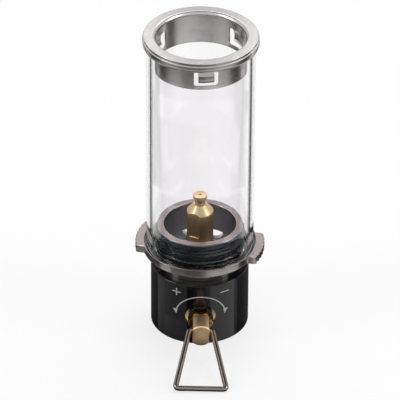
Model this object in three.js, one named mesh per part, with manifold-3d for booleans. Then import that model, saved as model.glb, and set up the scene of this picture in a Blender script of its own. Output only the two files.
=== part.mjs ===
// Small gas lantern with a glass chimney, built as separate solids in millimetres, +Z up.
// The lantern's own axis is vertical. The valve and its wire handle point towards -Y.
import * as THREE from "three";
import { mergeVertices } from "three/addons/utils/BufferGeometryUtils.js";
import Module from "manifold-3d";

const wasm = await Module();
wasm.setup();

// Base body, a turned shell open underneath
const BODY_RADIUS = 18.4;
const BODY_HEIGHT = 25.9;
const BODY_WALL = 2.2;
const BODY_EDGE_CHAMFER = 0.4;
const DECK_THICKNESS = 2.8;
const DECK_HOLE_RADIUS = 4.0;
const VALVE_WINDOW_RADIUS = 5.75;
const VALVE_AXIS_HEIGHT = 11.8;

// Valve block, hung under the deck
const BLOCK_FLANGE_RADIUS = 12.5;
const BLOCK_FLANGE_THICKNESS = 3.0;
const BLOCK_COLUMN_RADIUS = 8.6;
const BLOCK_FOOT_HEIGHT = 1.5;
const BOSS_RADIUS = 5.0;
const BOSS_REACH = 17.6;
const SOCKET_RADIUS = 5.15;
const SOCKET_CEILING_HEIGHT = 8.9;
const SOCKET_CHAMFER = 0.5;
const VALVE_BORE_RADIUS = 3.3;
const VALVE_BORE_START_REACH = 8.0;
const CHAMBER_RADIUS = 1.9;
const SEAT_REACH = 2.2;
const SEAT_RADIUS = 0.5;
const RISER_RADIUS = 1.0;
const FEED_HOLE_RADIUS = 0.6;
const FEED_HOLE_REACH = 3.4;
const BURNER_BORE_RADIUS = 3.7;
const BURNER_BORE_FLOOR_HEIGHT = 17.0;

// Screws that hold the block to the deck
const SCREW_CIRCLE_RADIUS = 10.4;
const SCREW_SHANK_RADIUS = 0.95;
const SCREW_HOLE_RADIUS = 1.2;
const SCREW_HEAD_RADIUS = 1.75;
const SCREW_HEAD_HEIGHT = 1.9;
const SCREW_BITE = 1.8;
const SCREW_HOLE_SPARE = 0.3;
const SCREW_SOCKET_RADIUS = 0.85;
const SCREW_SOCKET_DEPTH = 1.0;
const SCREW_ANGLES = [30, 150, 270];

// Seal and pin inside the canister socket
const SOCKET_SEAL_OUTER_RADIUS = 5.0;
const SOCKET_SEAL_INNER_RADIUS = 4.1;
const SOCKET_SEAL_THICKNESS = 1.1;
const PIN_RADIUS = 0.9;
const PIN_TIP_HEIGHT = 4.6;
const PIN_PLATE_RADIUS = 2.4;
const PIN_PLATE_THICKNESS = 1.0;

// Gland, spindle and needle on the valve axis, measured outwards from the lantern's axis
const WASHER_THICKNESS = 0.5;
const WASHER_OUTER_RADIUS = 4.7;
const WASHER_INNER_RADIUS = 3.35;
const NUT_FLATS_WIDTH = 8.2;
const NUT_LENGTH = 3.7;
const NUT_CHAMFER = 0.35;
const NUT_SPIGOT_RADIUS = 3.05;
const NUT_SPIGOT_LENGTH = 2.9;
const NUT_BORE_RADIUS = 2.05;
const GLAND_SEAL_LENGTH = 1.3;
const GLAND_SEAL_OUTER_RADIUS = 3.1;
const GLAND_SEAL_INNER_RADIUS = 1.95;
const SPINDLE_THREAD_RADIUS = 3.05;
const SPINDLE_THREAD_START_REACH = 8.6;
const SPINDLE_THREAD_LENGTH = 3.8;
const SPINDLE_SHANK_RADIUS = 1.8;
const SPINDLE_END_GAP = 0.1;
const SPINDLE_NOSE_RADIUS = 1.5;
const SPINDLE_NOSE_START_REACH = 5.0;
const NEEDLE_POCKET_RADIUS = 1.05;
const NEEDLE_POCKET_END_REACH = 7.6;
const NEEDLE_RADIUS = 0.9;
const NEEDLE_END_REACH = 7.4;
const NEEDLE_CONE_REACH = 3.2;
const NEEDLE_TIP_REACH = 1.5;
const NEEDLE_TIP_RADIUS = 0.12;

// Stem head with two flats and a cross hole for the wire handle
const HEAD_RADIUS = 4.35;
const HEAD_FLATS_WIDTH = 5.9;
const HEAD_NUT_GAP = 0.4;
const HEAD_LENGTH = 8.2;
const HEAD_CHAMFER = 0.5;
const HEAD_BORE_RADIUS = 1.95;
const HEAD_BORE_DEPTH = 2.3;
const PIVOT_SETBACK = 4.2;
const PIVOT_HOLE_RADIUS = 1.15;
// Degrees that the stem stands turned, clockwise as seen from the front
const STEM_TURN = 2;

// Wire handle, a bent triangle of round wire that rests on the ground
const WIRE_RADIUS = 1.0;
const HANDLE_LENGTH = 25.0;
const HANDLE_BAR_HALF_WIDTH = 9.5;
const HANDLE_TOP_HALF_WIDTH = 4.3;
const WIRE_END_HALF_GAP = 1.3;
const WIRE_CORNER_RADIUS = 1.2;
const WIRE_HOOK_RADIUS = 1.3;

// Burner cup, one turned piece with a clamped floor, air windows and a male thread
const CUP_FLOOR_THICKNESS = 1.2;
const CUP_NECK_RADIUS = 16.2;
const CUP_THREAD_RADIUS = 16.55;
const CUP_BORE_RADIUS = 13.45;
const CUP_TOP_HEIGHT = 43.2;
const CUP_EDGE_CHAMFER = 0.35;
const WINDOW_TOP_HEIGHT = 31.8;
const WINDOW_WIDTH = 16.4;
const WINDOW_CORNER_RADIUS = 4.4;
const WINDOW_ANGLES = [84, 174];

// Burner post and jet
const POST_RADIUS = 4.98;
const POST_SHOULDER_HEIGHT = 48.5;
const POST_CONE_HEIGHT = 3.0;
const POST_CONE_TOP_RADIUS = 2.3;
const POST_FLAT_HALF_WIDTH = 4.45;
const POST_FLAT_FOOT_HEIGHT = 38.9;
const POST_FLAT_ANGLE = -120.2;
const POST_SPIGOT_RADIUS = 3.4;
const POST_SPIGOT_FOOT_HEIGHT = 17.5;
const POST_BORE_RADIUS = 1.5;
const POST_FILTER_BORE_RADIUS = 2.2;
const POST_FILTER_BORE_DEPTH = 3.0;
const FILTER_RADIUS = 2.05;
const FILTER_LENGTH = 2.6;
const JET_SPIGOT_RADIUS = 1.35;
const JET_SPIGOT_LENGTH = 3.2;
const JET_NECK_RADIUS = 2.1;
const JET_WAIST_RADIUS = 1.95;
const JET_DISC_RADIUS = 2.65;
const JET_NECK_LENGTH = 2.4;
const JET_DISC_THICKNESS = 1.5;
const JET_EDGE_CHAMFER = 0.25;
const JET_ORIFICE_RADIUS = 0.35;
const JET_BORE_RADIUS = 0.8;
const JET_BORE_DEPTH = 5.2;

// Winged ring that screws onto the cup and carries the glass
const RING_FOOT_HEIGHT = 32.0;
const RING_HEIGHT = 2.9;
const RING_RADIUS = 21.3;
const RING_THREAD_CLEARANCE = 0.3;
const RING_POCKET_RADIUS = 20.35;
const RING_POCKET_FLOOR = 1.2;
const WING_RADIUS = 24.2;
const WING_ANGLES = [-11.2, 168.8];
const WING_HALF_SPAN = 23.5;
const WING_FLANK_SPAN = 4.2;
const WING_FLUTE_DEPTH = 0.4;
const WING_FLUTES = 7;

// Glass chimney and its gasket
const GLASS_RADIUS = 20.0;
const GLASS_WALL = 1.45;
const GLASS_EDGE_CHAMFER = 0.25;
const GASKET_THICKNESS = 0.8;
const GASKET_OUTER_RADIUS = 20.05;
const GASKET_INNER_RADIUS = 17.9;

// Top collar and its spring sleeve
const COLLAR_TOP_HEIGHT = 123.5;
const COLLAR_PLATE_THICKNESS = 1.2;
const COLLAR_DEPTH = 3.1;
const COLLAR_RADIUS = 21.4;
const COLLAR_FLAT_OUTER_RADIUS = 20.7;
const COLLAR_FLAT_INNER_RADIUS = 17.4;
const COLLAR_RIM_INNER_RADIUS = 20.35;
const COLLAR_EDGE_DROP = 0.8;
const COLLAR_FOOT_CHAMFER = 0.4;
const SLEEVE_RADIUS = 16.9;
const SLEEVE_WALL = 0.5;
const TONGUE_ANGLES = [-84.8, 35.2, 155.2];
const TONGUE_WIDTH = 5.3;
const TONGUE_ROOT_DROP = 3.0;
const TONGUE_LENGTH = 6.0;
const TONGUE_LIP_LENGTH = 1.4;
const TONGUE_BULGE = 1.45;
const TONGUE_TIP_BULGE = 0.55;
const TONGUE_SLOT_WIDTH = 1.9;
const TONGUE_SLOT_FOOT_GAP = 1.3;
const SLEEVE_FOOT_BAND = 1.1;
const TONGUE_WELD = 0.35;

// Lengths that only help the cutting: extra reach past a face, and the welding distance of vertices
const CUT_PAST = 1.0;
const WELD_DISTANCE = 0.0001;

// Facets of a full turn, large to small
const LARGE_FACETS = 56;
const MEDIUM_FACETS = 32;
const SMALL_FACETS = 20;
const WIRE_FACETS = 12;
const CORNER_STEPS = 4;

// Shares of the rounded inner lip of the collar, along its quarter curve
const LIP_CURVE_SHARES = [0, 0.35, 0.7, 1];

// Materials by name
const MATERIALS = {
  black_aluminium: { color: 0x17171a, roughness: 0.25, metalness: 0.6 },
  gunmetal: { color: 0x6f6765, roughness: 0.25, metalness: 0.9 },
  brass: { color: 0xc9a25f, roughness: 0.3, metalness: 0.95 },
  stainless: { color: 0xc4c2c0, roughness: 0.28, metalness: 1.0 },
  steel: { color: 0x9a9a98, roughness: 0.35, metalness: 1.0 },
  glass: { color: 0xf2f6f6, roughness: 0.03, metalness: 0.0, transparent: true, opacity: 0.3 },
  rubber: { color: 0x1b1b1b, roughness: 0.8, metalness: 0.0 },
  silicone: { color: 0xc9c6bf, roughness: 0.55, metalness: 0.0 },
  sintered_bronze: { color: 0x8c6a44, roughness: 0.85, metalness: 0.7 },
  copper: { color: 0xb06a48, roughness: 0.4, metalness: 0.95 },
};

const root = new THREE.Group();
root.name = "gas_lantern";

// Solid of revolution about Z from a closed loop of [radius, height] points
function revolve(profile, facets) {
  const loop = [...profile, profile[0]].map(([radius, height]) => new THREE.Vector2(radius, height));
  const geometry = new THREE.LatheGeometry(loop, facets);
  geometry.rotateX(Math.PI / 2);
  return solidOf(geometry);
}

// A geometry as a closed solid for joining and cutting, turned to face outwards
function solidOf(geometry) {
  const plain = new THREE.BufferGeometry();
  plain.setAttribute("position", geometry.getAttribute("position"));
  if (geometry.index) plain.setIndex(geometry.index);
  const merged = mergeVertices(plain, WELD_DISTANCE);
  const vertProperties = new Float32Array(merged.getAttribute("position").array);
  const triVerts = new Uint32Array(merged.index.array);
  const solid = new wasm.Manifold(new wasm.Mesh({ numProp: 3, vertProperties, triVerts }));
  if (solid.volume() > 0) return solid;
  for (let i = 0; i < triVerts.length; i += 3) {
    [triVerts[i + 1], triVerts[i + 2]] = [triVerts[i + 2], triVerts[i + 1]];
  }
  return new wasm.Manifold(new wasm.Mesh({ numProp: 3, vertProperties, triVerts }));
}

// Straight extrusion along Z of an outline of THREE.Vector2 points
function extrude(outline, height) {
  const shape = new THREE.Shape(outline);
  return solidOf(new THREE.ExtrudeGeometry(shape, { depth: height, bevelEnabled: false }));
}

// Plain cylinder along Z between two heights
function rod(radius, from, to, facets) {
  return revolve(
    [
      [0, from],
      [radius, from],
      [radius, to],
      [0, to],
    ],
    facets,
  );
}

// Plain tube along Z between two heights
function tube(inner, outer, from, to, facets) {
  return revolve(
    [
      [inner, from],
      [outer, from],
      [outer, to],
      [inner, to],
    ],
    facets,
  );
}

// Block with sides along the axes, centred on X and Y
function slab(widthX, widthY, from, to) {
  const geometry = new THREE.BoxGeometry(widthX, widthY, to - from);
  geometry.translate(0, 0, (from + to) / 2);
  return solidOf(geometry);
}

// Turns a solid about Z by degrees
function spin(solid, degrees) {
  return solid.rotate([0, 0, degrees]);
}

// Lays a solid drawn along +Z onto the valve axis, so that its height becomes reach towards -Y
function onValveAxis(solid) {
  return solid.rotate([90, 0, 0]).translate([0, 0, VALVE_AXIS_HEIGHT]);
}

// Turns a piece that rides on the valve stem about the valve axis
function turnedStem(solid) {
  return solid
    .translate([0, 0, -VALVE_AXIS_HEIGHT])
    .rotate([0, STEM_TURN, 0])
    .translate([0, 0, VALVE_AXIS_HEIGHT]);
}

function addNode(name, solid, materialName) {
  const data = solid.getMesh();
  const geometry = new THREE.BufferGeometry();
  geometry.setAttribute("position", new THREE.BufferAttribute(new Float32Array(data.vertProperties), 3));
  geometry.setIndex(new THREE.BufferAttribute(new Uint32Array(data.triVerts), 1));
  geometry.computeVertexNormals();
  const material = new THREE.MeshStandardMaterial({ ...MATERIALS[materialName], flatShading: true });
  material.name = materialName;
  const mesh = new THREE.Mesh(geometry, material);
  mesh.name = name;
  root.add(mesh);
}

// Base body: outer shell, deck, hole for the burner post, window for the valve, blind screw holes
const deckUnderside = BODY_HEIGHT - DECK_THICKNESS;
const bodyBore = BODY_RADIUS - BODY_WALL;
const screwTop = deckUnderside + SCREW_BITE;
{
  let body = revolve(
    [
      [bodyBore, 0],
      [BODY_RADIUS - BODY_EDGE_CHAMFER, 0],
      [BODY_RADIUS, BODY_EDGE_CHAMFER],
      [BODY_RADIUS, BODY_HEIGHT - BODY_EDGE_CHAMFER],
      [BODY_RADIUS - BODY_EDGE_CHAMFER, BODY_HEIGHT],
      [DECK_HOLE_RADIUS, BODY_HEIGHT],
      [DECK_HOLE_RADIUS, deckUnderside],
      [bodyBore, deckUnderside],
    ],
    LARGE_FACETS,
  );
  const window = onValveAxis(
    rod(VALVE_WINDOW_RADIUS, bodyBore / 2, BODY_RADIUS + CUT_PAST, MEDIUM_FACETS),
  );
  body = body.subtract(window);
  for (const angle of SCREW_ANGLES) {
    const hole = rod(
      SCREW_HOLE_RADIUS,
      deckUnderside - CUT_PAST,
      screwTop + SCREW_HOLE_SPARE,
      SMALL_FACETS,
    ).translate([SCREW_CIRCLE_RADIUS, 0, 0]);
    body = body.subtract(spin(hole, angle));
  }
  addNode("base_body", body, "black_aluminium");
}

// Valve block: flange, column with the canister socket, side boss, and the drilled gas way
const blockFlangeFoot = deckUnderside - BLOCK_FLANGE_THICKNESS;
{
  let block = revolve(
    [
      [SOCKET_RADIUS + SOCKET_CHAMFER, BLOCK_FOOT_HEIGHT],
      [BLOCK_COLUMN_RADIUS - SOCKET_CHAMFER, BLOCK_FOOT_HEIGHT],
      [BLOCK_COLUMN_RADIUS, BLOCK_FOOT_HEIGHT + SOCKET_CHAMFER],
      [BLOCK_COLUMN_RADIUS, blockFlangeFoot],
      [BLOCK_FLANGE_RADIUS, blockFlangeFoot],
      [BLOCK_FLANGE_RADIUS, deckUnderside],
      [BURNER_BORE_RADIUS, deckUnderside],
      [BURNER_BORE_RADIUS, BURNER_BORE_FLOOR_HEIGHT],
      [0, BURNER_BORE_FLOOR_HEIGHT],
      [0, SOCKET_CEILING_HEIGHT],
      [SOCKET_RADIUS, SOCKET_CEILING_HEIGHT],
      [SOCKET_RADIUS, BLOCK_FOOT_HEIGHT + SOCKET_CHAMFER],
    ],
    MEDIUM_FACETS,
  );
  const boss = onValveAxis(
    rod(BOSS_RADIUS, BLOCK_COLUMN_RADIUS / 2 + RISER_RADIUS, BOSS_REACH, MEDIUM_FACETS),
  );
  const bore = onValveAxis(
    rod(VALVE_BORE_RADIUS, VALVE_BORE_START_REACH, BOSS_REACH + CUT_PAST, SMALL_FACETS),
  );
  const chamber = onValveAxis(
    rod(CHAMBER_RADIUS, SEAT_REACH, VALVE_BORE_START_REACH + RISER_RADIUS, SMALL_FACETS),
  );
  const seat = onValveAxis(rod(SEAT_RADIUS, 0, SEAT_REACH + SEAT_RADIUS, SMALL_FACETS));
  const riser = rod(
    RISER_RADIUS,
    VALVE_AXIS_HEIGHT - RISER_RADIUS,
    BURNER_BORE_FLOOR_HEIGHT + CUT_PAST,
    SMALL_FACETS,
  );
  const feed = rod(
    FEED_HOLE_RADIUS,
    SOCKET_CEILING_HEIGHT - CUT_PAST,
    VALVE_AXIS_HEIGHT,
    SMALL_FACETS,
  ).translate([0, -FEED_HOLE_REACH, 0]);
  block = block.add(boss).subtract(bore).subtract(chamber).subtract(seat);
  block = block.subtract(riser).subtract(feed);
  for (const angle of SCREW_ANGLES) {
    const hole = rod(
      SCREW_HOLE_RADIUS,
      blockFlangeFoot - CUT_PAST,
      deckUnderside + CUT_PAST,
      SMALL_FACETS,
    ).translate([SCREW_CIRCLE_RADIUS, 0, 0]);
    block = block.subtract(spin(hole, angle));
  }
  addNode("valve_block", block, "brass");
}

// Socket head screws from below, through the block's flange into the deck
SCREW_ANGLES.forEach((angle, index) => {
  const headFoot = blockFlangeFoot - SCREW_HEAD_HEIGHT;
  const screw = revolve(
    [
      [0, headFoot + SCREW_SOCKET_DEPTH],
      [SCREW_SOCKET_RADIUS, headFoot + SCREW_SOCKET_DEPTH],
      [SCREW_SOCKET_RADIUS, headFoot],
      [SCREW_HEAD_RADIUS, headFoot],
      [SCREW_HEAD_RADIUS, blockFlangeFoot],
      [SCREW_SHANK_RADIUS, blockFlangeFoot],
      [SCREW_SHANK_RADIUS, screwTop],
      [0, screwTop],
    ],
    SMALL_FACETS,
  ).translate([SCREW_CIRCLE_RADIUS, 0, 0]);
  addNode(`block_screw_${index + 1}`, spin(screw, angle), "steel");
});

// Rubber seal at the socket's ceiling, and the pin that opens the canister's valve
addNode(
  "canister_seal",
  tube(
    SOCKET_SEAL_INNER_RADIUS,
    SOCKET_SEAL_OUTER_RADIUS,
    SOCKET_CEILING_HEIGHT - SOCKET_SEAL_THICKNESS,
    SOCKET_CEILING_HEIGHT,
    MEDIUM_FACETS,
  ),
  "rubber",
);
addNode(
  "pin_depressor",
  revolve(
    [
      [0, PIN_TIP_HEIGHT],
      [PIN_RADIUS, PIN_TIP_HEIGHT],
      [PIN_RADIUS, SOCKET_CEILING_HEIGHT - PIN_PLATE_THICKNESS],
      [PIN_PLATE_RADIUS, SOCKET_CEILING_HEIGHT - PIN_PLATE_THICKNESS],
      [PIN_PLATE_RADIUS, SOCKET_CEILING_HEIGHT],
      [0, SOCKET_CEILING_HEIGHT],
    ],
    SMALL_FACETS,
  ),
  "brass",
);

// Gland washer, nut and seal
const nutBackReach = BOSS_REACH + WASHER_THICKNESS;
const nutFrontReach = nutBackReach + NUT_LENGTH;
const glandSealEnd = nutBackReach - NUT_SPIGOT_LENGTH;
const headBackReach = nutFrontReach + HEAD_NUT_GAP;
const headFrontReach = headBackReach + HEAD_LENGTH;
const headBoreEndReach = headBackReach + HEAD_BORE_DEPTH;
const pivotReach = headBackReach + PIVOT_SETBACK;
{
  addNode(
    "gland_washer",
    onValveAxis(
      tube(WASHER_INNER_RADIUS, WASHER_OUTER_RADIUS, BOSS_REACH, nutBackReach, MEDIUM_FACETS),
    ),
    "copper",
  );
  const cornerRadius = NUT_FLATS_WIDTH / Math.sqrt(3);
  const hexagon = Array.from({ length: 6 }, (_, i) => {
    const angle = (Math.PI / 3) * i;
    return new THREE.Vector2(cornerRadius * Math.cos(angle), cornerRadius * Math.sin(angle));
  });
  const blank = extrude(hexagon, NUT_LENGTH).translate([0, 0, nutBackReach]);
  const turned = revolve(
    [
      [0, nutBackReach],
      [cornerRadius, nutBackReach],
      [cornerRadius, nutFrontReach - NUT_CHAMFER],
      [cornerRadius - 2 * NUT_CHAMFER, nutFrontReach],
      [0, nutFrontReach],
    ],
    MEDIUM_FACETS,
  );
  const spigot = rod(NUT_SPIGOT_RADIUS, glandSealEnd, nutBackReach + NUT_CHAMFER, SMALL_FACETS);
  const bore = rod(
    NUT_BORE_RADIUS,
    glandSealEnd - CUT_PAST,
    nutFrontReach + CUT_PAST,
    SMALL_FACETS,
  );
  const nut = blank.intersect(turned).add(spigot).subtract(bore);
  addNode("gland_nut", onValveAxis(nut), "brass");
  addNode(
    "gland_seal",
    onValveAxis(
      tube(
        GLAND_SEAL_INNER_RADIUS,
        GLAND_SEAL_OUTER_RADIUS,
        glandSealEnd - GLAND_SEAL_LENGTH,
        glandSealEnd,
        SMALL_FACETS,
      ),
    ),
    "rubber",
  );
}

// Valve spindle with its threaded shoulder, and the needle that floats in its nose
const threadEnd = SPINDLE_THREAD_START_REACH + SPINDLE_THREAD_LENGTH;
const spindleEnd = headBoreEndReach - SPINDLE_END_GAP;
addNode(
  "valve_spindle",
  onValveAxis(
    revolve(
      [
        [0, NEEDLE_POCKET_END_REACH],
        [NEEDLE_POCKET_RADIUS, NEEDLE_POCKET_END_REACH],
        [NEEDLE_POCKET_RADIUS, SPINDLE_NOSE_START_REACH],
        [SPINDLE_NOSE_RADIUS, SPINDLE_NOSE_START_REACH],
        [SPINDLE_NOSE_RADIUS, SPINDLE_THREAD_START_REACH],
        [SPINDLE_THREAD_RADIUS, SPINDLE_THREAD_START_REACH],
        [SPINDLE_THREAD_RADIUS, threadEnd],
        [SPINDLE_SHANK_RADIUS, threadEnd],
        [SPINDLE_SHANK_RADIUS, spindleEnd],
        [0, spindleEnd],
      ],
      SMALL_FACETS,
    ),
  ),
  "brass",
);
addNode(
  "needle",
  onValveAxis(
    revolve(
      [
        [0, NEEDLE_TIP_REACH],
        [NEEDLE_TIP_RADIUS, NEEDLE_TIP_REACH],
        [NEEDLE_RADIUS, NEEDLE_CONE_REACH],
        [NEEDLE_RADIUS, NEEDLE_END_REACH],
        [0, NEEDLE_END_REACH],
      ],
      SMALL_FACETS,
    ),
  ),
  "steel",
);

// Stem head: round bar with two flats, chamfered ends, spindle bore and cross hole
{
  let head = revolve(
    [
      [0, headBackReach],
      [HEAD_RADIUS - HEAD_CHAMFER, headBackReach],
      [HEAD_RADIUS, headBackReach + HEAD_CHAMFER],
      [HEAD_RADIUS, headFrontReach - HEAD_CHAMFER],
      [HEAD_RADIUS - HEAD_CHAMFER, headFrontReach],
      [0, headFrontReach],
    ],
    MEDIUM_FACETS,
  );
  head = head.intersect(
    slab(HEAD_FLATS_WIDTH, 3 * HEAD_RADIUS, headBackReach - CUT_PAST, headFrontReach + CUT_PAST),
  );
  head = head.subtract(
    rod(HEAD_BORE_RADIUS, headBackReach - CUT_PAST, headBoreEndReach, SMALL_FACETS),
  );
  const crossHole = rod(PIVOT_HOLE_RADIUS, -HEAD_RADIUS, HEAD_RADIUS, SMALL_FACETS)
    .rotate([0, 90, 0])
    .translate([0, 0, pivotReach]);
  addNode("stem_head", turnedStem(onValveAxis(head.subtract(crossHole))), "brass");
}

// Wire handle: rings of points carried along a centre line with rounded corners
const stemTilt = THREE.MathUtils.degToRad(STEM_TURN);
const barDrop = HANDLE_BAR_HALF_WIDTH * Math.sin(stemTilt);
const restDrop = VALVE_AXIS_HEIGHT - WIRE_RADIUS - barDrop;
const restAngle = Math.asin(restDrop / (HANDLE_LENGTH * Math.cos(stemTilt)));
function roundedPath(corners, radii) {
  const path = [corners[0].clone()];
  for (let i = 1; i < corners.length - 1; i += 1) {
    const here = corners[i];
    const back = corners[i - 1].clone().sub(here).normalize();
    const ahead = corners[i + 1].clone().sub(here).normalize();
    const half = Math.acos(back.dot(ahead)) / 2;
    const run = radii[i - 1] / Math.tan(half);
    const centre = here
      .clone()
      .addScaledVector(back.clone().add(ahead).normalize(), radii[i - 1] / Math.sin(half));
    const start = here.clone().addScaledVector(back, run).sub(centre);
    const end = here.clone().addScaledVector(ahead, run).sub(centre);
    const turn = start.angleTo(end);
    const hinge = start.clone().cross(end).normalize();
    for (let step = 0; step <= CORNER_STEPS; step += 1) {
      const along = start.clone().applyAxisAngle(hinge, (turn * step) / CORNER_STEPS);
      path.push(centre.clone().add(along));
    }
  }
  path.push(corners[corners.length - 1].clone());
  return path;
}
function bentWire(path, radius) {
  const positions = [];
  const faces = [];
  const planeNormal = new THREE.Vector3(0, 0, 1);
  path.forEach((point, i) => {
    const before = i > 0 ? point.clone().sub(path[i - 1]).normalize() : null;
    const after = i < path.length - 1 ? path[i + 1].clone().sub(point).normalize() : null;
    const tangent = (before || after).clone().add(after || before).normalize();
    const side = tangent.clone().cross(planeNormal).normalize();
    const stretch = before && after ? 1 / Math.cos(before.angleTo(after) / 2) : 1;
    for (let j = 0; j < WIRE_FACETS; j += 1) {
      const angle = (2 * Math.PI * j) / WIRE_FACETS;
      const vertex = point
        .clone()
        .addScaledVector(side, radius * stretch * Math.cos(angle))
        .addScaledVector(planeNormal, radius * Math.sin(angle));
      positions.push(vertex.x, vertex.y, vertex.z);
    }
  });
  const last = (path.length - 1) * WIRE_FACETS;
  for (let i = 0; i < last; i += WIRE_FACETS) {
    for (let j = 0; j < WIRE_FACETS; j += 1) {
      const k = (j + 1) % WIRE_FACETS;
      faces.push(i + j, i + WIRE_FACETS + j, i + k);
      faces.push(i + k, i + WIRE_FACETS + j, i + WIRE_FACETS + k);
    }
  }
  for (let j = 1; j < WIRE_FACETS - 1; j += 1) {
    faces.push(0, j, j + 1);
    faces.push(last, last + j + 1, last + j);
  }
  const geometry = new THREE.BufferGeometry();
  geometry.setAttribute("position", new THREE.Float32BufferAttribute(positions, 3));
  geometry.setIndex(faces);
  return solidOf(geometry);
}
{
  const flat = (x, reach) => new THREE.Vector3(x, -reach, 0);
  const corners = [
    flat(-WIRE_END_HALF_GAP, 0),
    flat(-HANDLE_TOP_HALF_WIDTH, 0),
    flat(-HANDLE_BAR_HALF_WIDTH, HANDLE_LENGTH),
    flat(HANDLE_BAR_HALF_WIDTH, HANDLE_LENGTH),
    flat(HANDLE_TOP_HALF_WIDTH, 0),
    flat(WIRE_END_HALF_GAP, 0),
  ];
  const radii = [WIRE_HOOK_RADIUS, WIRE_CORNER_RADIUS, WIRE_CORNER_RADIUS, WIRE_HOOK_RADIUS];
  const handle = bentWire(roundedPath(corners, radii), WIRE_RADIUS)
    .rotate([THREE.MathUtils.radToDeg(restAngle), 0, 0])
    .translate([0, -pivotReach, VALVE_AXIS_HEIGHT]);
  addNode("wire_handle", turnedStem(handle), "stainless");
}

// Burner cup: floor clamped on the deck, pillars between air windows, threaded rim
const cupFloorTop = BODY_HEIGHT + CUP_FLOOR_THICKNESS;
{
  let cup = revolve(
    [
      [DECK_HOLE_RADIUS, BODY_HEIGHT],
      [CUP_NECK_RADIUS, BODY_HEIGHT],
      [CUP_NECK_RADIUS, RING_FOOT_HEIGHT],
      [CUP_THREAD_RADIUS, RING_FOOT_HEIGHT],
      [CUP_THREAD_RADIUS, CUP_TOP_HEIGHT - CUP_EDGE_CHAMFER],
      [CUP_THREAD_RADIUS - CUP_EDGE_CHAMFER, CUP_TOP_HEIGHT],
      [CUP_BORE_RADIUS + CUP_EDGE_CHAMFER, CUP_TOP_HEIGHT],
      [CUP_BORE_RADIUS, CUP_TOP_HEIGHT - CUP_EDGE_CHAMFER],
      [CUP_BORE_RADIUS, cupFloorTop],
      [DECK_HOLE_RADIUS, cupFloorTop],
    ],
    LARGE_FACETS,
  );
  const half = WINDOW_WIDTH / 2;
  const outline = [new THREE.Vector2(-half, WINDOW_TOP_HEIGHT)];
  for (const side of [-1, 1]) {
    for (let step = 0; step <= CORNER_STEPS; step += 1) {
      const share = side < 0 ? step / CORNER_STEPS : 1 - step / CORNER_STEPS;
      const angle = (Math.PI / 2) * share;
      outline.push(
        new THREE.Vector2(
          side * (half - WINDOW_CORNER_RADIUS * (1 - Math.cos(angle))),
          cupFloorTop + WINDOW_CORNER_RADIUS * (1 - Math.sin(angle)),
        ),
      );
    }
  }
  outline.push(new THREE.Vector2(half, WINDOW_TOP_HEIGHT));
  const cutterLength = 2 * (CUP_THREAD_RADIUS + CUT_PAST);
  const cutter = extrude(outline, cutterLength)
    .translate([0, 0, -cutterLength / 2])
    .rotate([90, 0, 0]);
  for (const angle of WINDOW_ANGLES) {
    cup = cup.subtract(spin(cutter, angle - 90));
  }
  addNode("burner_cup", cup, "gunmetal");
}

// Burner post: threaded spigot through the deck, round body, two wrench flats, cone
{
  const spigotBoreTop = POST_SPIGOT_FOOT_HEIGHT + POST_FILTER_BORE_DEPTH;
  const jetSeatHeight = POST_SHOULDER_HEIGHT + POST_CONE_HEIGHT;
  const discFoot = jetSeatHeight + JET_NECK_LENGTH;
  const jetTop = discFoot + JET_DISC_THICKNESS;
  let post = revolve(
    [
      [POST_FILTER_BORE_RADIUS, POST_SPIGOT_FOOT_HEIGHT],
      [POST_SPIGOT_RADIUS, POST_SPIGOT_FOOT_HEIGHT],
      [POST_SPIGOT_RADIUS, cupFloorTop],
      [POST_RADIUS, cupFloorTop],
      [POST_RADIUS, POST_SHOULDER_HEIGHT],
      [POST_CONE_TOP_RADIUS, jetSeatHeight],
      [POST_BORE_RADIUS, jetSeatHeight],
      [POST_BORE_RADIUS, spigotBoreTop],
      [POST_FILTER_BORE_RADIUS, spigotBoreTop],
    ],
    MEDIUM_FACETS,
  );
  const sideBlock = slab(
    2 * POST_RADIUS,
    4 * POST_RADIUS,
    POST_FLAT_FOOT_HEIGHT,
    jetSeatHeight + CUT_PAST,
  );
  for (const side of [0, 180]) {
    const cut = sideBlock.translate([POST_FLAT_HALF_WIDTH + POST_RADIUS, 0, 0]);
    post = post.subtract(spin(cut, POST_FLAT_ANGLE + side));
  }
  addNode("burner_post", post, "brass");
  addNode(
    "gas_filter",
    rod(FILTER_RADIUS, spigotBoreTop - FILTER_LENGTH, spigotBoreTop, SMALL_FACETS),
    "sintered_bronze",
  );
  const jetBoreTop = jetSeatHeight - JET_SPIGOT_LENGTH + JET_BORE_DEPTH;
  addNode(
    "burner_jet",
    revolve(
      [
        [JET_BORE_RADIUS, jetSeatHeight - JET_SPIGOT_LENGTH],
        [JET_SPIGOT_RADIUS, jetSeatHeight - JET_SPIGOT_LENGTH],
        [JET_SPIGOT_RADIUS, jetSeatHeight],
        [JET_NECK_RADIUS, jetSeatHeight],
        [JET_WAIST_RADIUS, (jetSeatHeight + discFoot) / 2],
        [JET_NECK_RADIUS, discFoot - JET_EDGE_CHAMFER],
        [JET_DISC_RADIUS, discFoot],
        [JET_DISC_RADIUS, jetTop - JET_EDGE_CHAMFER],
        [JET_DISC_RADIUS - JET_EDGE_CHAMFER, jetTop],
        [JET_ORIFICE_RADIUS, jetTop],
        [JET_ORIFICE_RADIUS, jetBoreTop],
        [JET_BORE_RADIUS, jetBoreTop],
      ],
      MEDIUM_FACETS,
    ),
    "brass",
  );
}

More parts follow.
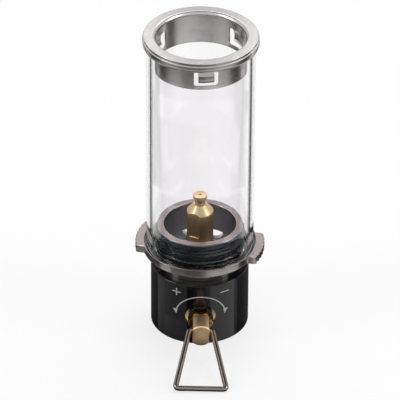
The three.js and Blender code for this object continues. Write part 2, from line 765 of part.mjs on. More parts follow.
// Winged ring: outline with two fluted wings, threaded bore and a pocket for the glass
function wingedOutline() {
  const points = [];
  const flutePitch = (2 * (WING_HALF_SPAN - WING_FLANK_SPAN)) / WING_FLUTES;
  const radiusAt = (offset) => {
    const inward = WING_HALF_SPAN - Math.abs(offset);
    if (inward <= 0) return RING_RADIUS;
    if (inward < WING_FLANK_SPAN) {
      const share = Math.sin((Math.PI / 2) * (inward / WING_FLANK_SPAN));
      return RING_RADIUS + (WING_RADIUS - RING_RADIUS) * share;
    }
    const phase = ((inward - WING_FLANK_SPAN) / flutePitch) % 1;
    return WING_RADIUS - WING_FLUTE_DEPTH * Math.sin(Math.PI * phase) ** 2;
  };
  const offsets = [];
  const flankSteps = CORNER_STEPS;
  for (let step = 0; step <= flankSteps; step += 1) {
    offsets.push(-WING_HALF_SPAN + (WING_FLANK_SPAN * step) / flankSteps);
  }
  const topSpan = WING_HALF_SPAN - WING_FLANK_SPAN;
  const topSteps = 2 * WING_FLUTES;
  for (let step = 1; step < topSteps; step += 1) {
    offsets.push(-topSpan + (2 * topSpan * step) / topSteps);
  }
  for (let step = flankSteps; step >= 0; step -= 1) {
    offsets.push(WING_HALF_SPAN - (WING_FLANK_SPAN * step) / flankSteps);
  }
  const arcSpan = 180 - 2 * WING_HALF_SPAN;
  const arcSteps = Math.round((LARGE_FACETS * arcSpan) / 360);
  for (const centre of WING_ANGLES) {
    for (const offset of offsets) {
      const angle = THREE.MathUtils.degToRad(centre + offset);
      const radius = radiusAt(offset);
      points.push(new THREE.Vector2(radius * Math.cos(angle), radius * Math.sin(angle)));
    }
    for (let step = 1; step < arcSteps; step += 1) {
      const degrees = centre + WING_HALF_SPAN + (arcSpan * step) / arcSteps;
      const angle = THREE.MathUtils.degToRad(degrees);
      points.push(new THREE.Vector2(RING_RADIUS * Math.cos(angle), RING_RADIUS * Math.sin(angle)));
    }
  }
  return points;
}
const pocketFloor = RING_FOOT_HEIGHT + RING_POCKET_FLOOR;
const ringTop = RING_FOOT_HEIGHT + RING_HEIGHT;
{
  const blank = extrude(wingedOutline(), RING_HEIGHT).translate([0, 0, RING_FOOT_HEIGHT]);
  const hollow = revolve(
    [
      [0, RING_FOOT_HEIGHT - CUT_PAST],
      [CUP_THREAD_RADIUS + RING_THREAD_CLEARANCE, RING_FOOT_HEIGHT - CUT_PAST],
      [CUP_THREAD_RADIUS + RING_THREAD_CLEARANCE, pocketFloor],
      [RING_POCKET_RADIUS, pocketFloor],
      [RING_POCKET_RADIUS, ringTop + CUT_PAST],
      [0, ringTop + CUT_PAST],
    ],
    LARGE_FACETS,
  );
  addNode("winged_ring", blank.subtract(hollow), "gunmetal");
}

// Gasket in the ring's pocket, and the glass chimney that stands on it
const gasketTop = pocketFloor + GASKET_THICKNESS;
const collarPlateFoot = COLLAR_TOP_HEIGHT - COLLAR_PLATE_THICKNESS;
const glassBore = GLASS_RADIUS - GLASS_WALL;
addNode(
  "glass_gasket",
  tube(GASKET_INNER_RADIUS, GASKET_OUTER_RADIUS, pocketFloor, gasketTop, LARGE_FACETS),
  "silicone",
);
addNode(
  "glass_chimney",
  revolve(
    [
      [glassBore + GLASS_EDGE_CHAMFER, gasketTop],
      [GLASS_RADIUS - GLASS_EDGE_CHAMFER, gasketTop],
      [GLASS_RADIUS, gasketTop + GLASS_EDGE_CHAMFER],
      [GLASS_RADIUS, collarPlateFoot - GLASS_EDGE_CHAMFER],
      [GLASS_RADIUS - GLASS_EDGE_CHAMFER, collarPlateFoot],
      [glassBore + GLASS_EDGE_CHAMFER, collarPlateFoot],
      [glassBore, collarPlateFoot - GLASS_EDGE_CHAMFER],
      [glassBore, gasketTop + GLASS_EDGE_CHAMFER],
    ],
    LARGE_FACETS,
  ),
  "glass",
);

// Top collar: flat ring with a rounded inner lip and an outer rim that hangs over the glass
{
  const sleeveBore = SLEEVE_RADIUS - SLEEVE_WALL;
  const lipRun = COLLAR_FLAT_INNER_RADIUS - sleeveBore;
  const lip = LIP_CURVE_SHARES.map((share) => {
    const angle = (Math.PI / 2) * share;
    return [
      COLLAR_FLAT_INNER_RADIUS - lipRun * Math.sin(angle),
      COLLAR_TOP_HEIGHT - lipRun * (1 - Math.cos(angle)),
    ];
  });
  const collarFoot = COLLAR_TOP_HEIGHT - COLLAR_DEPTH;
  addNode(
    "top_collar",
    revolve(
      [
        [sleeveBore, collarPlateFoot],
        [COLLAR_RIM_INNER_RADIUS, collarPlateFoot],
        [COLLAR_RIM_INNER_RADIUS, collarFoot],
        [COLLAR_RADIUS - COLLAR_FOOT_CHAMFER, collarFoot],
        [COLLAR_RADIUS, collarFoot + COLLAR_FOOT_CHAMFER],
        [COLLAR_RADIUS, COLLAR_TOP_HEIGHT - COLLAR_EDGE_DROP],
        [COLLAR_FLAT_OUTER_RADIUS, COLLAR_TOP_HEIGHT],
        ...lip,
      ],
      LARGE_FACETS,
    ),
    "stainless",
  );
}

// Spring sleeve: thin tube with three U-shaped slots whose tongues bulge towards the glass
{
  const sleeveBore = SLEEVE_RADIUS - SLEEVE_WALL;
  const tongueRoot = collarPlateFoot - TONGUE_ROOT_DROP;
  const tongueTip = tongueRoot - TONGUE_LENGTH;
  const tongueKnee = tongueTip + TONGUE_LIP_LENGTH;
  const slotFoot = tongueTip - TONGUE_SLOT_FOOT_GAP;
  let sleeve = tube(
    sleeveBore,
    SLEEVE_RADIUS,
    slotFoot - SLEEVE_FOOT_BAND,
    collarPlateFoot,
    LARGE_FACETS,
  );
  const slotWidth = TONGUE_WIDTH + 2 * TONGUE_SLOT_WIDTH;
  const cutDepth = SLEEVE_RADIUS;
  const opening = slab(slotWidth, cutDepth, slotFoot, tongueRoot);
  const tongueOutline = [
    [0, tongueRoot + TONGUE_WELD],
    [0, tongueRoot],
    [TONGUE_BULGE, tongueKnee],
    [TONGUE_TIP_BULGE, tongueTip],
    [TONGUE_TIP_BULGE - SLEEVE_WALL, tongueTip],
    [TONGUE_BULGE - SLEEVE_WALL, tongueKnee],
    [-SLEEVE_WALL, tongueRoot],
    [-SLEEVE_WALL, tongueRoot + TONGUE_WELD],
  ].map(([out, z]) => new THREE.Vector2(out, z));
  const tongue = extrude(tongueOutline, TONGUE_WIDTH)
    .translate([0, 0, -TONGUE_WIDTH / 2])
    .rotate([90, 0, 0])
    .translate([SLEEVE_RADIUS, 0, 0]);
  for (const angle of TONGUE_ANGLES) {
    const cut = spin(opening.translate([0, SLEEVE_RADIUS, 0]), angle - 90);
    sleeve = sleeve.subtract(cut);
  }
  for (const angle of TONGUE_ANGLES) {
    sleeve = sleeve.add(spin(tongue, angle));
  }
  addNode("spring_sleeve", sleeve, "stainless");
}

// Part frame: origin in the middle of the box that holds the whole lantern, on the ground
const frontReach = pivotReach + HANDLE_LENGTH * Math.cos(restAngle) + WIRE_RADIUS;
const backReach = COLLAR_RADIUS;
root.position.y = (frontReach - backReach) / 2;

export default root;
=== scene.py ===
import math

import bmesh
import bpy
from bpy.props import FloatProperty, FloatVectorProperty, PointerProperty
from mathutils import Matrix, Vector


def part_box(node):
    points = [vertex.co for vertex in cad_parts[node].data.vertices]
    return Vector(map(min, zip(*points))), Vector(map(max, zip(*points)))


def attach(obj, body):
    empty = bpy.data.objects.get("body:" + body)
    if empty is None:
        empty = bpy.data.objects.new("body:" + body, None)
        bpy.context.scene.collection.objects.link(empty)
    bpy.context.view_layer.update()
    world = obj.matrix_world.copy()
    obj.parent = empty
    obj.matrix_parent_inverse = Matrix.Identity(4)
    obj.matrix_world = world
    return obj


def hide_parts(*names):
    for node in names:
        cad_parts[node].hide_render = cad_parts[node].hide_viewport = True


bl_info = {
    "name": "Small Gas Lantern",
    "version": (1, 0, 0),
    "blender": (4, 5, 0),
    "location": "3D View > Sidebar > Lantern",
    "description": "Models and finishes a small gas lantern with a glass chimney",
    "category": "Add Mesh",
}

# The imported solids, in metres
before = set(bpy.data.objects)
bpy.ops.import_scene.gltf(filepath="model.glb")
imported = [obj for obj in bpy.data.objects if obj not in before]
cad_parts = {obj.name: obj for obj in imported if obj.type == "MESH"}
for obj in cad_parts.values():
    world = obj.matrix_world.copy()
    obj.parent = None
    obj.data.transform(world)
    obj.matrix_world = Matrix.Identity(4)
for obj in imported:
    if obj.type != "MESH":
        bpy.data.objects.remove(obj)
MM = 0.001


def span(node):
    """Lowest and highest corner of a node, in millimetres."""
    low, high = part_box(node)
    return low / MM, high / MM


# The lantern's own axis and the places that its solids give, in millimetres
GLASS_LOW, GLASS_HIGH = span("glass_chimney")
AXIS_Y = (GLASS_LOW.y + GLASS_HIGH.y) / 2
GLASS_RADIUS = (GLASS_HIGH.x - GLASS_LOW.x) / 2
BODY_RADIUS = span("base_body")[1].x
BODY_TOP = span("base_body")[1].z
CUP_TOP = span("burner_cup")[1].z
CUP_RADIUS = span("burner_cup")[1].x
COLLAR_LOW, COLLAR_HIGH = span("top_collar")
SLEEVE_LOW, SLEEVE_HIGH = span("spring_sleeve")
RING_LOW, RING_HIGH = span("winged_ring")
JET_TOP = span("burner_jet")[1].z
NUT_LOW, NUT_HIGH = span("gland_nut")
HEAD_LOW, HEAD_HIGH = span("stem_head")
VALVE_Z = (NUT_LOW.z + NUT_HIGH.z) / 2
NUT_FRONT = AXIS_Y - NUT_LOW.y
HEAD_FRONT = AXIS_Y - HEAD_LOW.y
HEAD_BACK = AXIS_Y - HEAD_HIGH.y
HANDLE_FRONT = span("wire_handle")[0].y
PIVOT_REACH = HEAD_BACK + 4.2
UPRIGHT = (0, AXIS_Y, 0)
VALVE = (0, AXIS_Y, VALVE_Z)
LAID = (90, 0, 0)

# Sizes that more than one piece shares, in millimetres and degrees
BODY_WALL = 2.2
DECK_FOOT = BODY_TOP - 2.8
DECK_HOLE_RADIUS = 4.0
CUP_FLOOR = 27.1
SCREW_CIRCLE_RADIUS = 10.4
SCREW_HOLE_RADIUS = 1.2
FLANGE_THICKNESS = 3.0
SOCKET_CEILING = 8.9
RING_RADIUS = 21.3
STEM_TURN = 2


def linear(text):
    """A linear colour from a hex sRGB one."""
    shares = [int(text[i : i + 2], 16) / 255 for i in (1, 3, 5)]
    return [s / 12.92 if s <= 0.04045 else ((s + 0.055) / 1.055) ** 2.4 for s in shares]


def length(name, description, default):
    """A length for the panel, given in millimetres."""
    return FloatProperty(
        name=name,
        description=description,
        default=default * MM,
        min=0.0,
        max=1.0,
        unit="LENGTH",
        subtype="DISTANCE",
        precision=5,
    )


def colour(name, description, default):
    """A colour for the panel, given as hex."""
    return FloatVectorProperty(
        name=name,
        description=description,
        default=linear(default),
        min=0.0,
        max=1.0,
        size=3,
        subtype="COLOR",
    )


class LanternSizes(bpy.types.PropertyGroup):
    body_radius: length("Body radius", "Radius of the black base body", BODY_RADIUS)
    body_edge: length("Body edge", "Rounding of the body's upper edge", 0.45)
    mark_width: length("Mark width", "Stroke width of the marks on the body", 0.42)
    mark_radius: length("Arrow radius", "Radius of the arc arrow round the valve", 9.38)
    thread_pitch: length("Thread pitch", "Pitch of the cup's thread", 1.5)
    thread_depth: length("Thread depth", "Depth of the cup's thread", 0.3)
    glass_radius: length("Glass radius", "Outer radius of the chimney", GLASS_RADIUS)
    glass_wall: length("Glass wall", "Thickness of the chimney's wall", 1.9)
    wing_reach: length("Wing reach", "Radius over the ring's two wings", 24.2)
    flute_depth: length("Flute depth", "Depth of the wings' flutes", 0.45)
    sleeve_wall: length("Sleeve wall", "Thickness of the spring sleeve", 0.5)
    wire_radius: length("Wire radius", "Radius of the handle's wire", 1.0)


class LanternFinishes(bpy.types.PropertyGroup):
    body: colour("Body", "Black anodised aluminium", "#0c0c11")
    mark: colour("Marks", "Laser-bleached marks", "#b9b7b4")
    gunmetal: colour("Gunmetal", "Plated cup and ring", "#b1a7a5")
    nickel: colour("Nickel", "Bare plating inside the cup", "#ccd2d8")
    # The thread's colour is the gunmetal darkened as painted shade, for the thread's cut and the
    # ring's ledge
    thread: colour("Thread", "Dark plating in the thread's cut", "#6c7073")
    brass: colour("Brass", "Turned brass of block, post and jet", "#ecd0a4")
    milled: colour("Milled brass", "Milled brass of the valve's stem", "#fad5a9")
    # The gland nut's colour is the brass darkened as painted shade
    nut: colour("Gland nut", "Tarnished brass of the gland nut", "#b08c5c")
    steel: colour("Stainless", "Satin stainless steel", "#cbc7c6")
    # The wire's colour is the stainless darkened as painted shade
    wire: colour("Wire", "Drawn stainless wire", "#938a81")
    screw: colour("Screw steel", "Zinc-plated screws", "#b3b4b4")
    rubber: colour("Rubber", "Nitrile rubber", "#1c1c1d")
    silicone: colour("Silicone", "Silicone gasket", "#45413f")
    bronze: colour("Bronze", "Sintered bronze filter", "#a07c50")
    glass: colour("Glass", "Tint of the chimney", "#fcfbfc")
    floor: colour("Floor", "Pale floor of the studio", "#f2f2f2")


def sizes():
    return bpy.context.scene.lantern_sizes


def finishes():
    return bpy.context.scene.lantern_finishes


# Modelling by hand: selection, turning, cutting, finishing


def edit():
    bpy.ops.object.mode_set(mode="EDIT")


def leave_edit():
    bpy.ops.object.mode_set(mode="OBJECT")


def deselect():
    """Leaves edit mode and deselects everything."""
    if bpy.context.object and bpy.context.object.mode != "OBJECT":
        leave_edit()
    bpy.ops.object.select_all(action="DESELECT")


def activate(piece):
    """Makes one object the only selected and active one."""
    deselect()
    piece.select_set(True)
    bpy.context.view_layer.objects.active = piece


def pick(piece, kind, test):
    """In edit mode, selects the vertices or edges that pass a test."""
    bpy.ops.mesh.select_mode(type=kind)
    bpy.ops.mesh.select_all(action="DESELECT")
    shape = bmesh.from_edit_mesh(piece.data)
    for item in shape.verts if kind == "VERT" else shape.edges:
        if test(item):
            item.select_set(True)
    shape.select_flush_mode()
    bmesh.update_edit_mesh(piece.data)


def near(x, z):
    """A test for vertices at one place of a profile, in metres."""
    return lambda v: abs(v.co.x - x) < 2e-6 and abs(v.co.z - z) < 2e-6


def drawn_line(name, points):
    """Starts a piece as a line through (x, z) points in metres, and stays in edit mode."""
    deselect()
    bpy.ops.mesh.primitive_plane_add(size=MM, location=(0, 0, 0))
    piece = bpy.context.object
    piece.name = name
    edit()
    bpy.ops.mesh.merge(type="CENTER")
    x, z = points[0][:2]
    bpy.ops.transform.translate(value=(x, 0, z))
    for point in points[1:]:
        step = (point[0] - x, 0, point[1] - z)
        bpy.ops.mesh.extrude_region_move(TRANSFORM_OT_translate={"value": step})
        x, z = point[:2]
    return piece


def spun(steps, angle):
    """In edit mode, spins the whole shape about the upright axis, in degrees."""
    bpy.ops.mesh.select_all(action="SELECT")
    bpy.ops.mesh.spin(steps=steps, angle=math.radians(angle), center=(0, 0, 0), axis=(0, 0, 1))


def cleaned():
    """Merges points that meet, turns the faces outwards and leaves edit mode."""
    bpy.ops.mesh.select_all(action="SELECT")
    bpy.ops.mesh.remove_doubles(threshold=1e-6)
    bpy.ops.mesh.normals_make_consistent(inside=False)
    leave_edit()


def turned(name, profile, steps=192):
    """A lathe shape from a loop of (radius, height, rounding) in millimetres."""
    points = [(p[0] * MM, p[1] * MM, (p[2] if len(p) > 2 else 0.0) * MM) for p in profile]
    piece = drawn_line(name, points)
    if points[0][0] > 0 or points[-1][0] > 0:
        first, last = near(*points[0][:2]), near(*points[-1][:2])
        pick(piece, "VERT", lambda v: first(v) or last(v))
        bpy.ops.mesh.edge_face_add()
    for point in points:
        if point[2] > 0:
            pick(piece, "VERT", near(*point[:2]))
            bpy.ops.mesh.bevel(offset=point[2], segments=5, affect="VERTICES")
    spun(steps, 360)
    cleaned()
    return piece


def place(piece, move=(0, 0, 0), turn=(0, 0, 0)):
    """Moves (mm) and turns (degrees) an object, and applies it to the mesh."""
    activate(piece)
    piece.location = Vector(move) * MM
    piece.rotation_euler = [math.radians(a) for a in turn]
    bpy.ops.object.transform_apply(location=True, rotation=True, scale=True)
    return piece


def scaled(piece, size):
    """Scales the object that was just added, in metres, and applies it to the mesh."""
    piece.scale = size
    bpy.ops.object.transform_apply(location=True, rotation=True, scale=True)


def on_valve_axis(piece):
    """Lays a shape drawn upwards onto the valve's axis: height becomes reach to the front."""
    return place(piece, move=(0, 0, VALVE_Z), turn=LAID)


def around(radius, angle):
    """A point on a circle about the lantern's axis."""
    a = math.radians(angle)
    return radius * math.cos(a), radius * math.sin(a)


def screw_places():
    """Where the deck's three screws stand."""
    return [around(SCREW_CIRCLE_RADIUS, angle) for angle in (30, 150, 270)]


def across(face):
    """How far from the lantern's axis a face of a finished piece lies, in millimetres."""
    return math.hypot(face.center.x / MM, face.center.y / MM - AXIS_Y)


def between(angle, centre):
    """The angle from one bearing to another, either way round, in degrees."""
    return abs((angle - centre + 180) % 360 - 180)


def swell(vertex, out):
    """Moves a vertex away from the axis by some millimetres."""
    grown = 1 + out * MM / vertex.co.to_2d().length
    vertex.co.x *= grown
    vertex.co.y *= grown


def block(size, centre, rounding=0.0, rounded=None):
    """A block for cutting, in millimetres, with chosen edges rounded."""
    deselect()
    bpy.ops.mesh.primitive_cube_add(size=1, location=(0, 0, 0))
    piece = bpy.context.object
    scaled(piece, Vector(size) * MM)
    if rounding:
        edit()
        pick(piece, "EDGE", rounded)
        bpy.ops.mesh.bevel(offset=rounding * MM, segments=8, affect="EDGES")
        leave_edit()
    return place(piece, move=centre)


def drill(radius, low, high, at=(0, 0), facets=64):
    """An upright cylinder for cutting or adding, in millimetres."""
    deselect()
    bpy.ops.mesh.primitive_cylinder_add(
        vertices=facets,
        radius=radius * MM,
        depth=(high - low) * MM,
        location=(at[0] * MM, at[1] * MM, (low + high) / 2 * MM),
    )
    piece = bpy.context.object
    bpy.ops.object.transform_apply(location=True, rotation=True, scale=True)
    return piece


def grid(x_steps, y_steps):
    """A flat grid of one unit, to be shaped point by point or scaled."""
    deselect()
    bpy.ops.mesh.primitive_grid_add(
        x_subdivisions=x_steps, y_subdivisions=y_steps, size=1, location=(0, 0, 0)
    )
    return bpy.context.object


def changed(piece, name, kind, **settings):
    """Puts a modifier with its settings on a piece and applies it."""
    activate(piece)
    change = piece.modifiers.new(name, kind)
    for key, value in settings.items():
        setattr(change, key, value)
    bpy.ops.object.modifier_apply(modifier=change.name)
    return piece


def combine(piece, other, operation="DIFFERENCE"):
    """Cuts, joins or intersects a piece with another, which is used up."""
    changed(piece, "combine", "BOOLEAN", object=other, operation=operation, solver="EXACT")
    bpy.data.objects.remove(other)
    return piece


def drill_screw_holes(piece, low, high):
    for at in screw_places():
        combine(piece, drill(SCREW_HOLE_RADIUS, low, high, at, facets=32))


def soften(piece, width, angle=40.0, segments=2):
    """Breaks the sharp edges of a milled piece."""
    edges = {"limit_method": "ANGLE", "angle_limit": math.radians(angle)}
    bevel = {"width": width * MM, "segments": segments, "harden_normals": False}
    return changed(piece, "soften", "BEVEL", **edges, **bevel)


def join(pieces, name):
    """Joins closed shells into one piece."""
    deselect()
    for piece in pieces:
        piece.select_set(True)
    bpy.context.view_layer.objects.active = pieces[0]
    bpy.ops.object.join()
    pieces[0].name = name
    return pieces[0]


def rib(name, section, pitch, turns):
    """A thread's rib: a closed section (radius, height in mm) wound up the axis."""
    deselect()
    bpy.ops.mesh.primitive_circle_add(
        vertices=len(section), radius=MM, fill_type="NGON", location=(0, 0, 0)
    )
    piece = bpy.context.object
    piece.name = name
    for vertex, (radius, height) in zip(piece.data.vertices, section):
        vertex.co = (radius * MM, 0, height * MM)
    wind = {"axis": "Z", "screw_offset": pitch * MM, "iterations": turns}
    changed(piece, "wind", "SCREW", steps=96, render_steps=96, **wind)
    edit()
    bpy.ops.mesh.select_mode(type="VERT")
    bpy.ops.mesh.select_all(action="SELECT")
    bpy.ops.mesh.remove_doubles(threshold=1e-7)
    bpy.ops.mesh.select_all(action="DESELECT")
    bpy.ops.mesh.select_non_manifold(extend=False)
    bpy.ops.mesh.fill()
    cleaned()
    return piece


def finished(piece, body, finish, nodes=(), smooth=32.0):
    """Sets a modelled piece on the lantern's axis, smooths it, gives it its finish, hangs it on its
    body and hides the solids that it replaces.
    """
    place(piece, move=UPRIGHT)
    bpy.ops.object.shade_smooth_by_angle(angle=math.radians(smooth))
    changed(piece, "weigh", "WEIGHTED_NORMAL", keep_sharp=True, weight=100)
    piece.data.materials.clear()
    piece.data.materials.append(stored(finish))
    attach(piece, body)
    if nodes:
        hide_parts(*nodes)
    return piece


# Materials


def node(tree, kind, values=None, links=None, **settings):
    """Adds one node with its settings, input values and incoming links."""
    made = tree.nodes.new(kind)
    for key, value in settings.items():
        setattr(made, key, value)
    for key, value in (values or {}).items():
        made.inputs[key].default_value = value
    for key, (source, output) in (links or {}).items():
        tree.links.new(source.outputs[output], made.inputs[key])
    return made


def blank(block):
    """Gives a new material or world an empty node tree, and returns both."""
    block.use_nodes = True
    block.node_tree.nodes.clear()
    return block, block.node_tree


def shade(tree, values, links):
    """Adds the main shader with its values and patterns, and the output."""
    shader = node(tree, "ShaderNodeBsdfPrincipled", values, links)
    node(tree, "ShaderNodeOutputMaterial", links={"Surface": (shader, "BSDF")})


def noise(tree, source, grain, detail, roughness=0.5):
    """Noise with grains of about a size in millimetres."""
    values = {"Scale": 1000 / grain, "Detail": detail, "Roughness": roughness}
    made = node(tree, "ShaderNodeTexNoise", values, {"Vector": source})
    return made, "Fac"


def spread(tree, source, low, high, start=0.0, end=1.0):
    """Spreads a pattern's values from start to end over a range."""
    values = {"From Min": start, "From Max": end, "To Min": low, "To Max": high}
    return node(tree, "ShaderNodeMapRange", values, {"Value": source}), "Result"


def blend(tree, share, first, second):
    """Mixes two colours by a pattern."""
    values = {6: (*first, 1), 7: (*second, 1)}
    return node(tree, "ShaderNodeMix", values, {0: share}, data_type="RGBA"), 2


def bump(tree, source, strength, depth):
    """Raises a pattern by a depth in millimetres."""
    values = {"Strength": strength, "Distance": depth * MM}
    return node(tree, "ShaderNodeBump", values, {"Height": source}), "Normal"


def dimmed(colour_value, share):
    return [c * share for c in colour_value]


def own_place(tree):
    """A piece's own coordinates."""
    return node(tree, "ShaderNodeTexCoord"), "Object"


def turning_coordinates(tree, centre, turn=(0, 0, 0)):
    """A turned piece's own coordinates, and its radius and height about the axis."""
    values = {"Location": Vector(centre) * MM, "Rotation": [math.radians(a) for a in turn]}
    links = {"Vector": own_place(tree)}
    mapped = node(tree, "ShaderNodeMapping", values, links, vector_type="TEXTURE")
    parts = node(tree, "ShaderNodeSeparateXYZ", links={"Vector": (mapped, "Vector")})
    flat = node(tree, "ShaderNodeCombineXYZ", links={"X": (parts, "X"), "Y": (parts, "Y")})
    links = {"Vector": (flat, "Vector")}
    radius = node(tree, "ShaderNodeVectorMath", links=links, operation="LENGTH")
    links = {"X": (radius, "Value"), "Z": (parts, "Z")}
    rings = node(tree, "ShaderNodeCombineXYZ", links=links)
    return (mapped, "Vector"), (rings, "Vector")


def metal(name, colour_value, roughness, centre=UPRIGHT, turn=(0, 0, 0), ring_mm=0.5,
          depth=0.004, wear_mm=2.5, tint=0.06, brushed=0.0):
    """A turned or drawn metal: fine tool rings, cloudy roughness and faint rubbed patches."""
    made, tree = blank(bpy.data.materials.new(name))
    mapped, rings = turning_coordinates(tree, centre, turn)
    tool = noise(tree, rings, ring_mm, 2.0, 0.6)
    cloud = noise(tree, mapped, wear_mm, 5.0, 0.62)
    mixed = node(tree, "ShaderNodeMix", {0: 0.5}, {2: tool, 3: cloud}, data_type="FLOAT")
    smoothest, roughest = max(roughness - 0.05, 0.02), roughness + 0.05
    links = {
        "Base Color": blend(tree, cloud, colour_value, dimmed(colour_value, 1 - tint)),
        "Roughness": spread(tree, (mixed, 0), smoothest, roughest, 0.35, 0.65),
        "Normal": bump(tree, tool, 0.35, depth),
    }
    if brushed:
        along = node(tree, "ShaderNodeTangent", direction_type="RADIAL", axis="Z")
        links["Tangent"] = (along, "Tangent")
    shade(tree, {"Metallic": 1.0, "Anisotropic": brushed}, links)
    return made


def turned_stainless():
    """Stainless steel, faced and satin-polished on a lathe: fine rings, soft reflections."""
    steel = finishes().steel
    return metal("turned satin stainless steel", steel, 0.24, ring_mm=0.3, brushed=0.6)


def rolled_stainless():
    """Thin cold-rolled stainless sheet, rolled to a sleeve: smoother, with faint lines round it."""
    return metal("rolled stainless sheet", finishes().steel, 0.22, depth=0.003, brushed=0.7)


def drawn_wire_painted_shade():
    """Drawn stainless wire, its colour darkened below the steel's as painted shade, with the faint
    lines of the die.
    """
    lines = {"turn": (25.6, 0, 0), "ring_mm": 0.6, "depth": 0.0005}
    return metal("drawn stainless wire", finishes().wire, 0.13, VALVE, **lines)


def plated_gunmetal():
    """Nickel plating in a warm grey over turned metal: glossy, slightly mauve, fine rings."""
    plating = finishes().gunmetal
    return metal("warm grey gunmetal plating", plating, 0.21, depth=0.0008, tint=0.1)


def thread_plating_painted_shade():
    """The plating in the thread's cut, darkened as painted shade: darker and neutral, with soft
    rings.
    """
    rings = {"ring_mm": 0.75, "depth": 0.003, "tint": 0.1}
    return metal("dark gunmetal thread", finishes().thread, 0.24, **rings)


def bare_nickel():
    """The cup's inside: plating brighter than the cup's outside, with a satin, cloudy surface."""
    cloud = {"depth": 0.001, "tint": 0.25, "wear_mm": 3.0}
    return metal("satin nickel plating", finishes().nickel, 0.36, **cloud)


def turned_brass():
    """Bare brass turned about the burner's axis: rings round the post, bright facets."""
    return metal("turned brass", finishes().brass, 0.38, depth=0.0006, tint=0.1)


def milled_brass():
    """Bare brass turned and milled about the valve's axis: satin faces, slight tarnish."""
    marks = {"turn": LAID, "ring_mm": 0.3, "depth": 0.003, "tint": 0.16, "wear_mm": 1.6}
    return metal("milled brass", finishes().milled, 0.38, VALVE, **marks)


def nut_brass_painted_shade():
    """The gland nut's brass, darkened as painted shade for the nut set back in the valve window:
    darker, in soft patches.
    """
    marks = {"turn": LAID, "ring_mm": 0.3, "depth": 0.002, "tint": 0.3, "wear_mm": 1.6}
    return metal("tarnished milled brass", finishes().nut, 0.24, VALVE, **marks)


def plated_screw():
    """Zinc-plated screw steel: greyish, a little cloudy."""
    return metal("zinc plated screw steel", finishes().screw, 0.34, ring_mm=0.35, tint=0.15)


def sintered():
    """Sintered bronze filter: grains of about a fifth of a millimetre, open and dull."""
    grains = {"ring_mm": 0.2, "depth": 0.05, "tint": 0.4, "wear_mm": 0.2}
    return metal("sintered bronze", finishes().bronze, 0.7, **grains)


def black_anodised():
    """Aluminium, turned, polished and anodised glossy black: deep black, soft reflections.

    Tool rings of 0.1 mm are drawn 0.5 mm apart, so that they show. The cloud is handling
    marks, a few millimetres across.
    """
    made, tree = blank(bpy.data.materials.new("gloss black anodised aluminium"))
    mapped, rings = turning_coordinates(tree, UPRIGHT)
    cloud = noise(tree, mapped, 4.0, 6.0, 0.65)
    base = finishes().body
    links = {
        "Base Color": blend(tree, cloud, dimmed(base, 0.8), dimmed(base, 1.25)),
        "Roughness": spread(tree, cloud, 0.1, 0.16, 0.35, 0.7),
        "Normal": bump(tree, noise(tree, rings, 0.5, 2.0), 0.3, 0.003),
    }
    shade(tree, {"Specular IOR Level": 0.42}, links)
    return made


def laser_mark():
    """Anodising bleached by a laser: matt light grey with a fine grain."""
    made, tree = blank(bpy.data.materials.new("laser bleached mark"))
    grain = noise(tree, own_place(tree), 0.25, 3.0)
    base = finishes().mark
    links = {
        "Base Color": blend(tree, grain, dimmed(base, 0.8), base),
        "Normal": bump(tree, grain, 0.4, 0.01),
    }
    shade(tree, {"Roughness": 0.6}, links)
    return made


def soft_seal(name, colour_value, roughness):
    """Moulded rubber: matt, with a fine grain."""
    made, tree = blank(bpy.data.materials.new(name))
    grain = noise(tree, own_place(tree), 0.3, 4.0)
    links = {
        "Base Color": blend(tree, grain, dimmed(colour_value, 0.85), colour_value),
        "Roughness": spread(tree, grain, roughness - 0.08, roughness + 0.08),
        "Normal": bump(tree, grain, 0.3, 0.01),
    }
    shade(tree, {}, links)
    return made


def nitrile_rubber():
    """Nitrile rubber of the seals: black and matt."""
    return soft_seal("nitrile rubber", finishes().rubber, 0.55)


def silicone():
    """Silicone of the gasket: dark grey, a little smoother."""
    return soft_seal("silicone", finishes().silicone, 0.5)


def drawn_glass():
    """Borosilicate tube, drawn and fire-polished: clear, slightly dulled along draw lines.

    The lines are a few millimetres apart and stretched along the tube.
    """
    made, tree = blank(bpy.data.materials.new("drawn borosilicate glass"))
    values = {"Location": (0, -AXIS_Y * MM, 0), "Scale": (1, 1, 0.03)}
    stretched = node(tree, "ShaderNodeMapping", values, {"Vector": own_place(tree)})
    lines = noise(tree, (stretched, "Vector"), 5.0, 2.0)
    values = {"Base Color": (*finishes().glass, 1), "Transmission Weight": 1.0, "IOR": 1.47}
    shade(tree, values, {"Roughness": spread(tree, lines, 0.0, 0.02, 0.45, 0.75)})
    return made


STORE = {}


def stored(maker):
    """A material, made the first time that it is asked for."""
    if maker not in STORE:
        STORE[maker] = maker()
    return STORE[maker]


# Operators, one for each piece or group


class LANTERN_OT_body(bpy.types.Operator):
    """Turn the black base body, open its valve window and drill its deck"""

    bl_idname = "lantern.body"
    bl_label = "Base Body"

    def execute(self, context):
        radius, edge = sizes().body_radius / MM, sizes().body_edge / MM
        inner = radius - BODY_WALL
        profile = [
            (inner, 0, 0.15), (radius, 0, 0.4), (radius, BODY_TOP, edge),
            (DECK_HOLE_RADIUS, BODY_TOP, 0.1), (DECK_HOLE_RADIUS, DECK_FOOT, 0.1),
            (inner, DECK_FOOT, 0.5),
        ]
        body = turned("body_shell", profile)
        window_radius = 5.75
        combine(body, on_valve_axis(drill(window_radius, radius - 8, radius + 3, facets=96)))
        drill_screw_holes(body, BODY_TOP - 4, BODY_TOP - 0.7)
        finished(body, "base", black_anodised, ["base_body"], smooth=40)
        return {"FINISHED"}


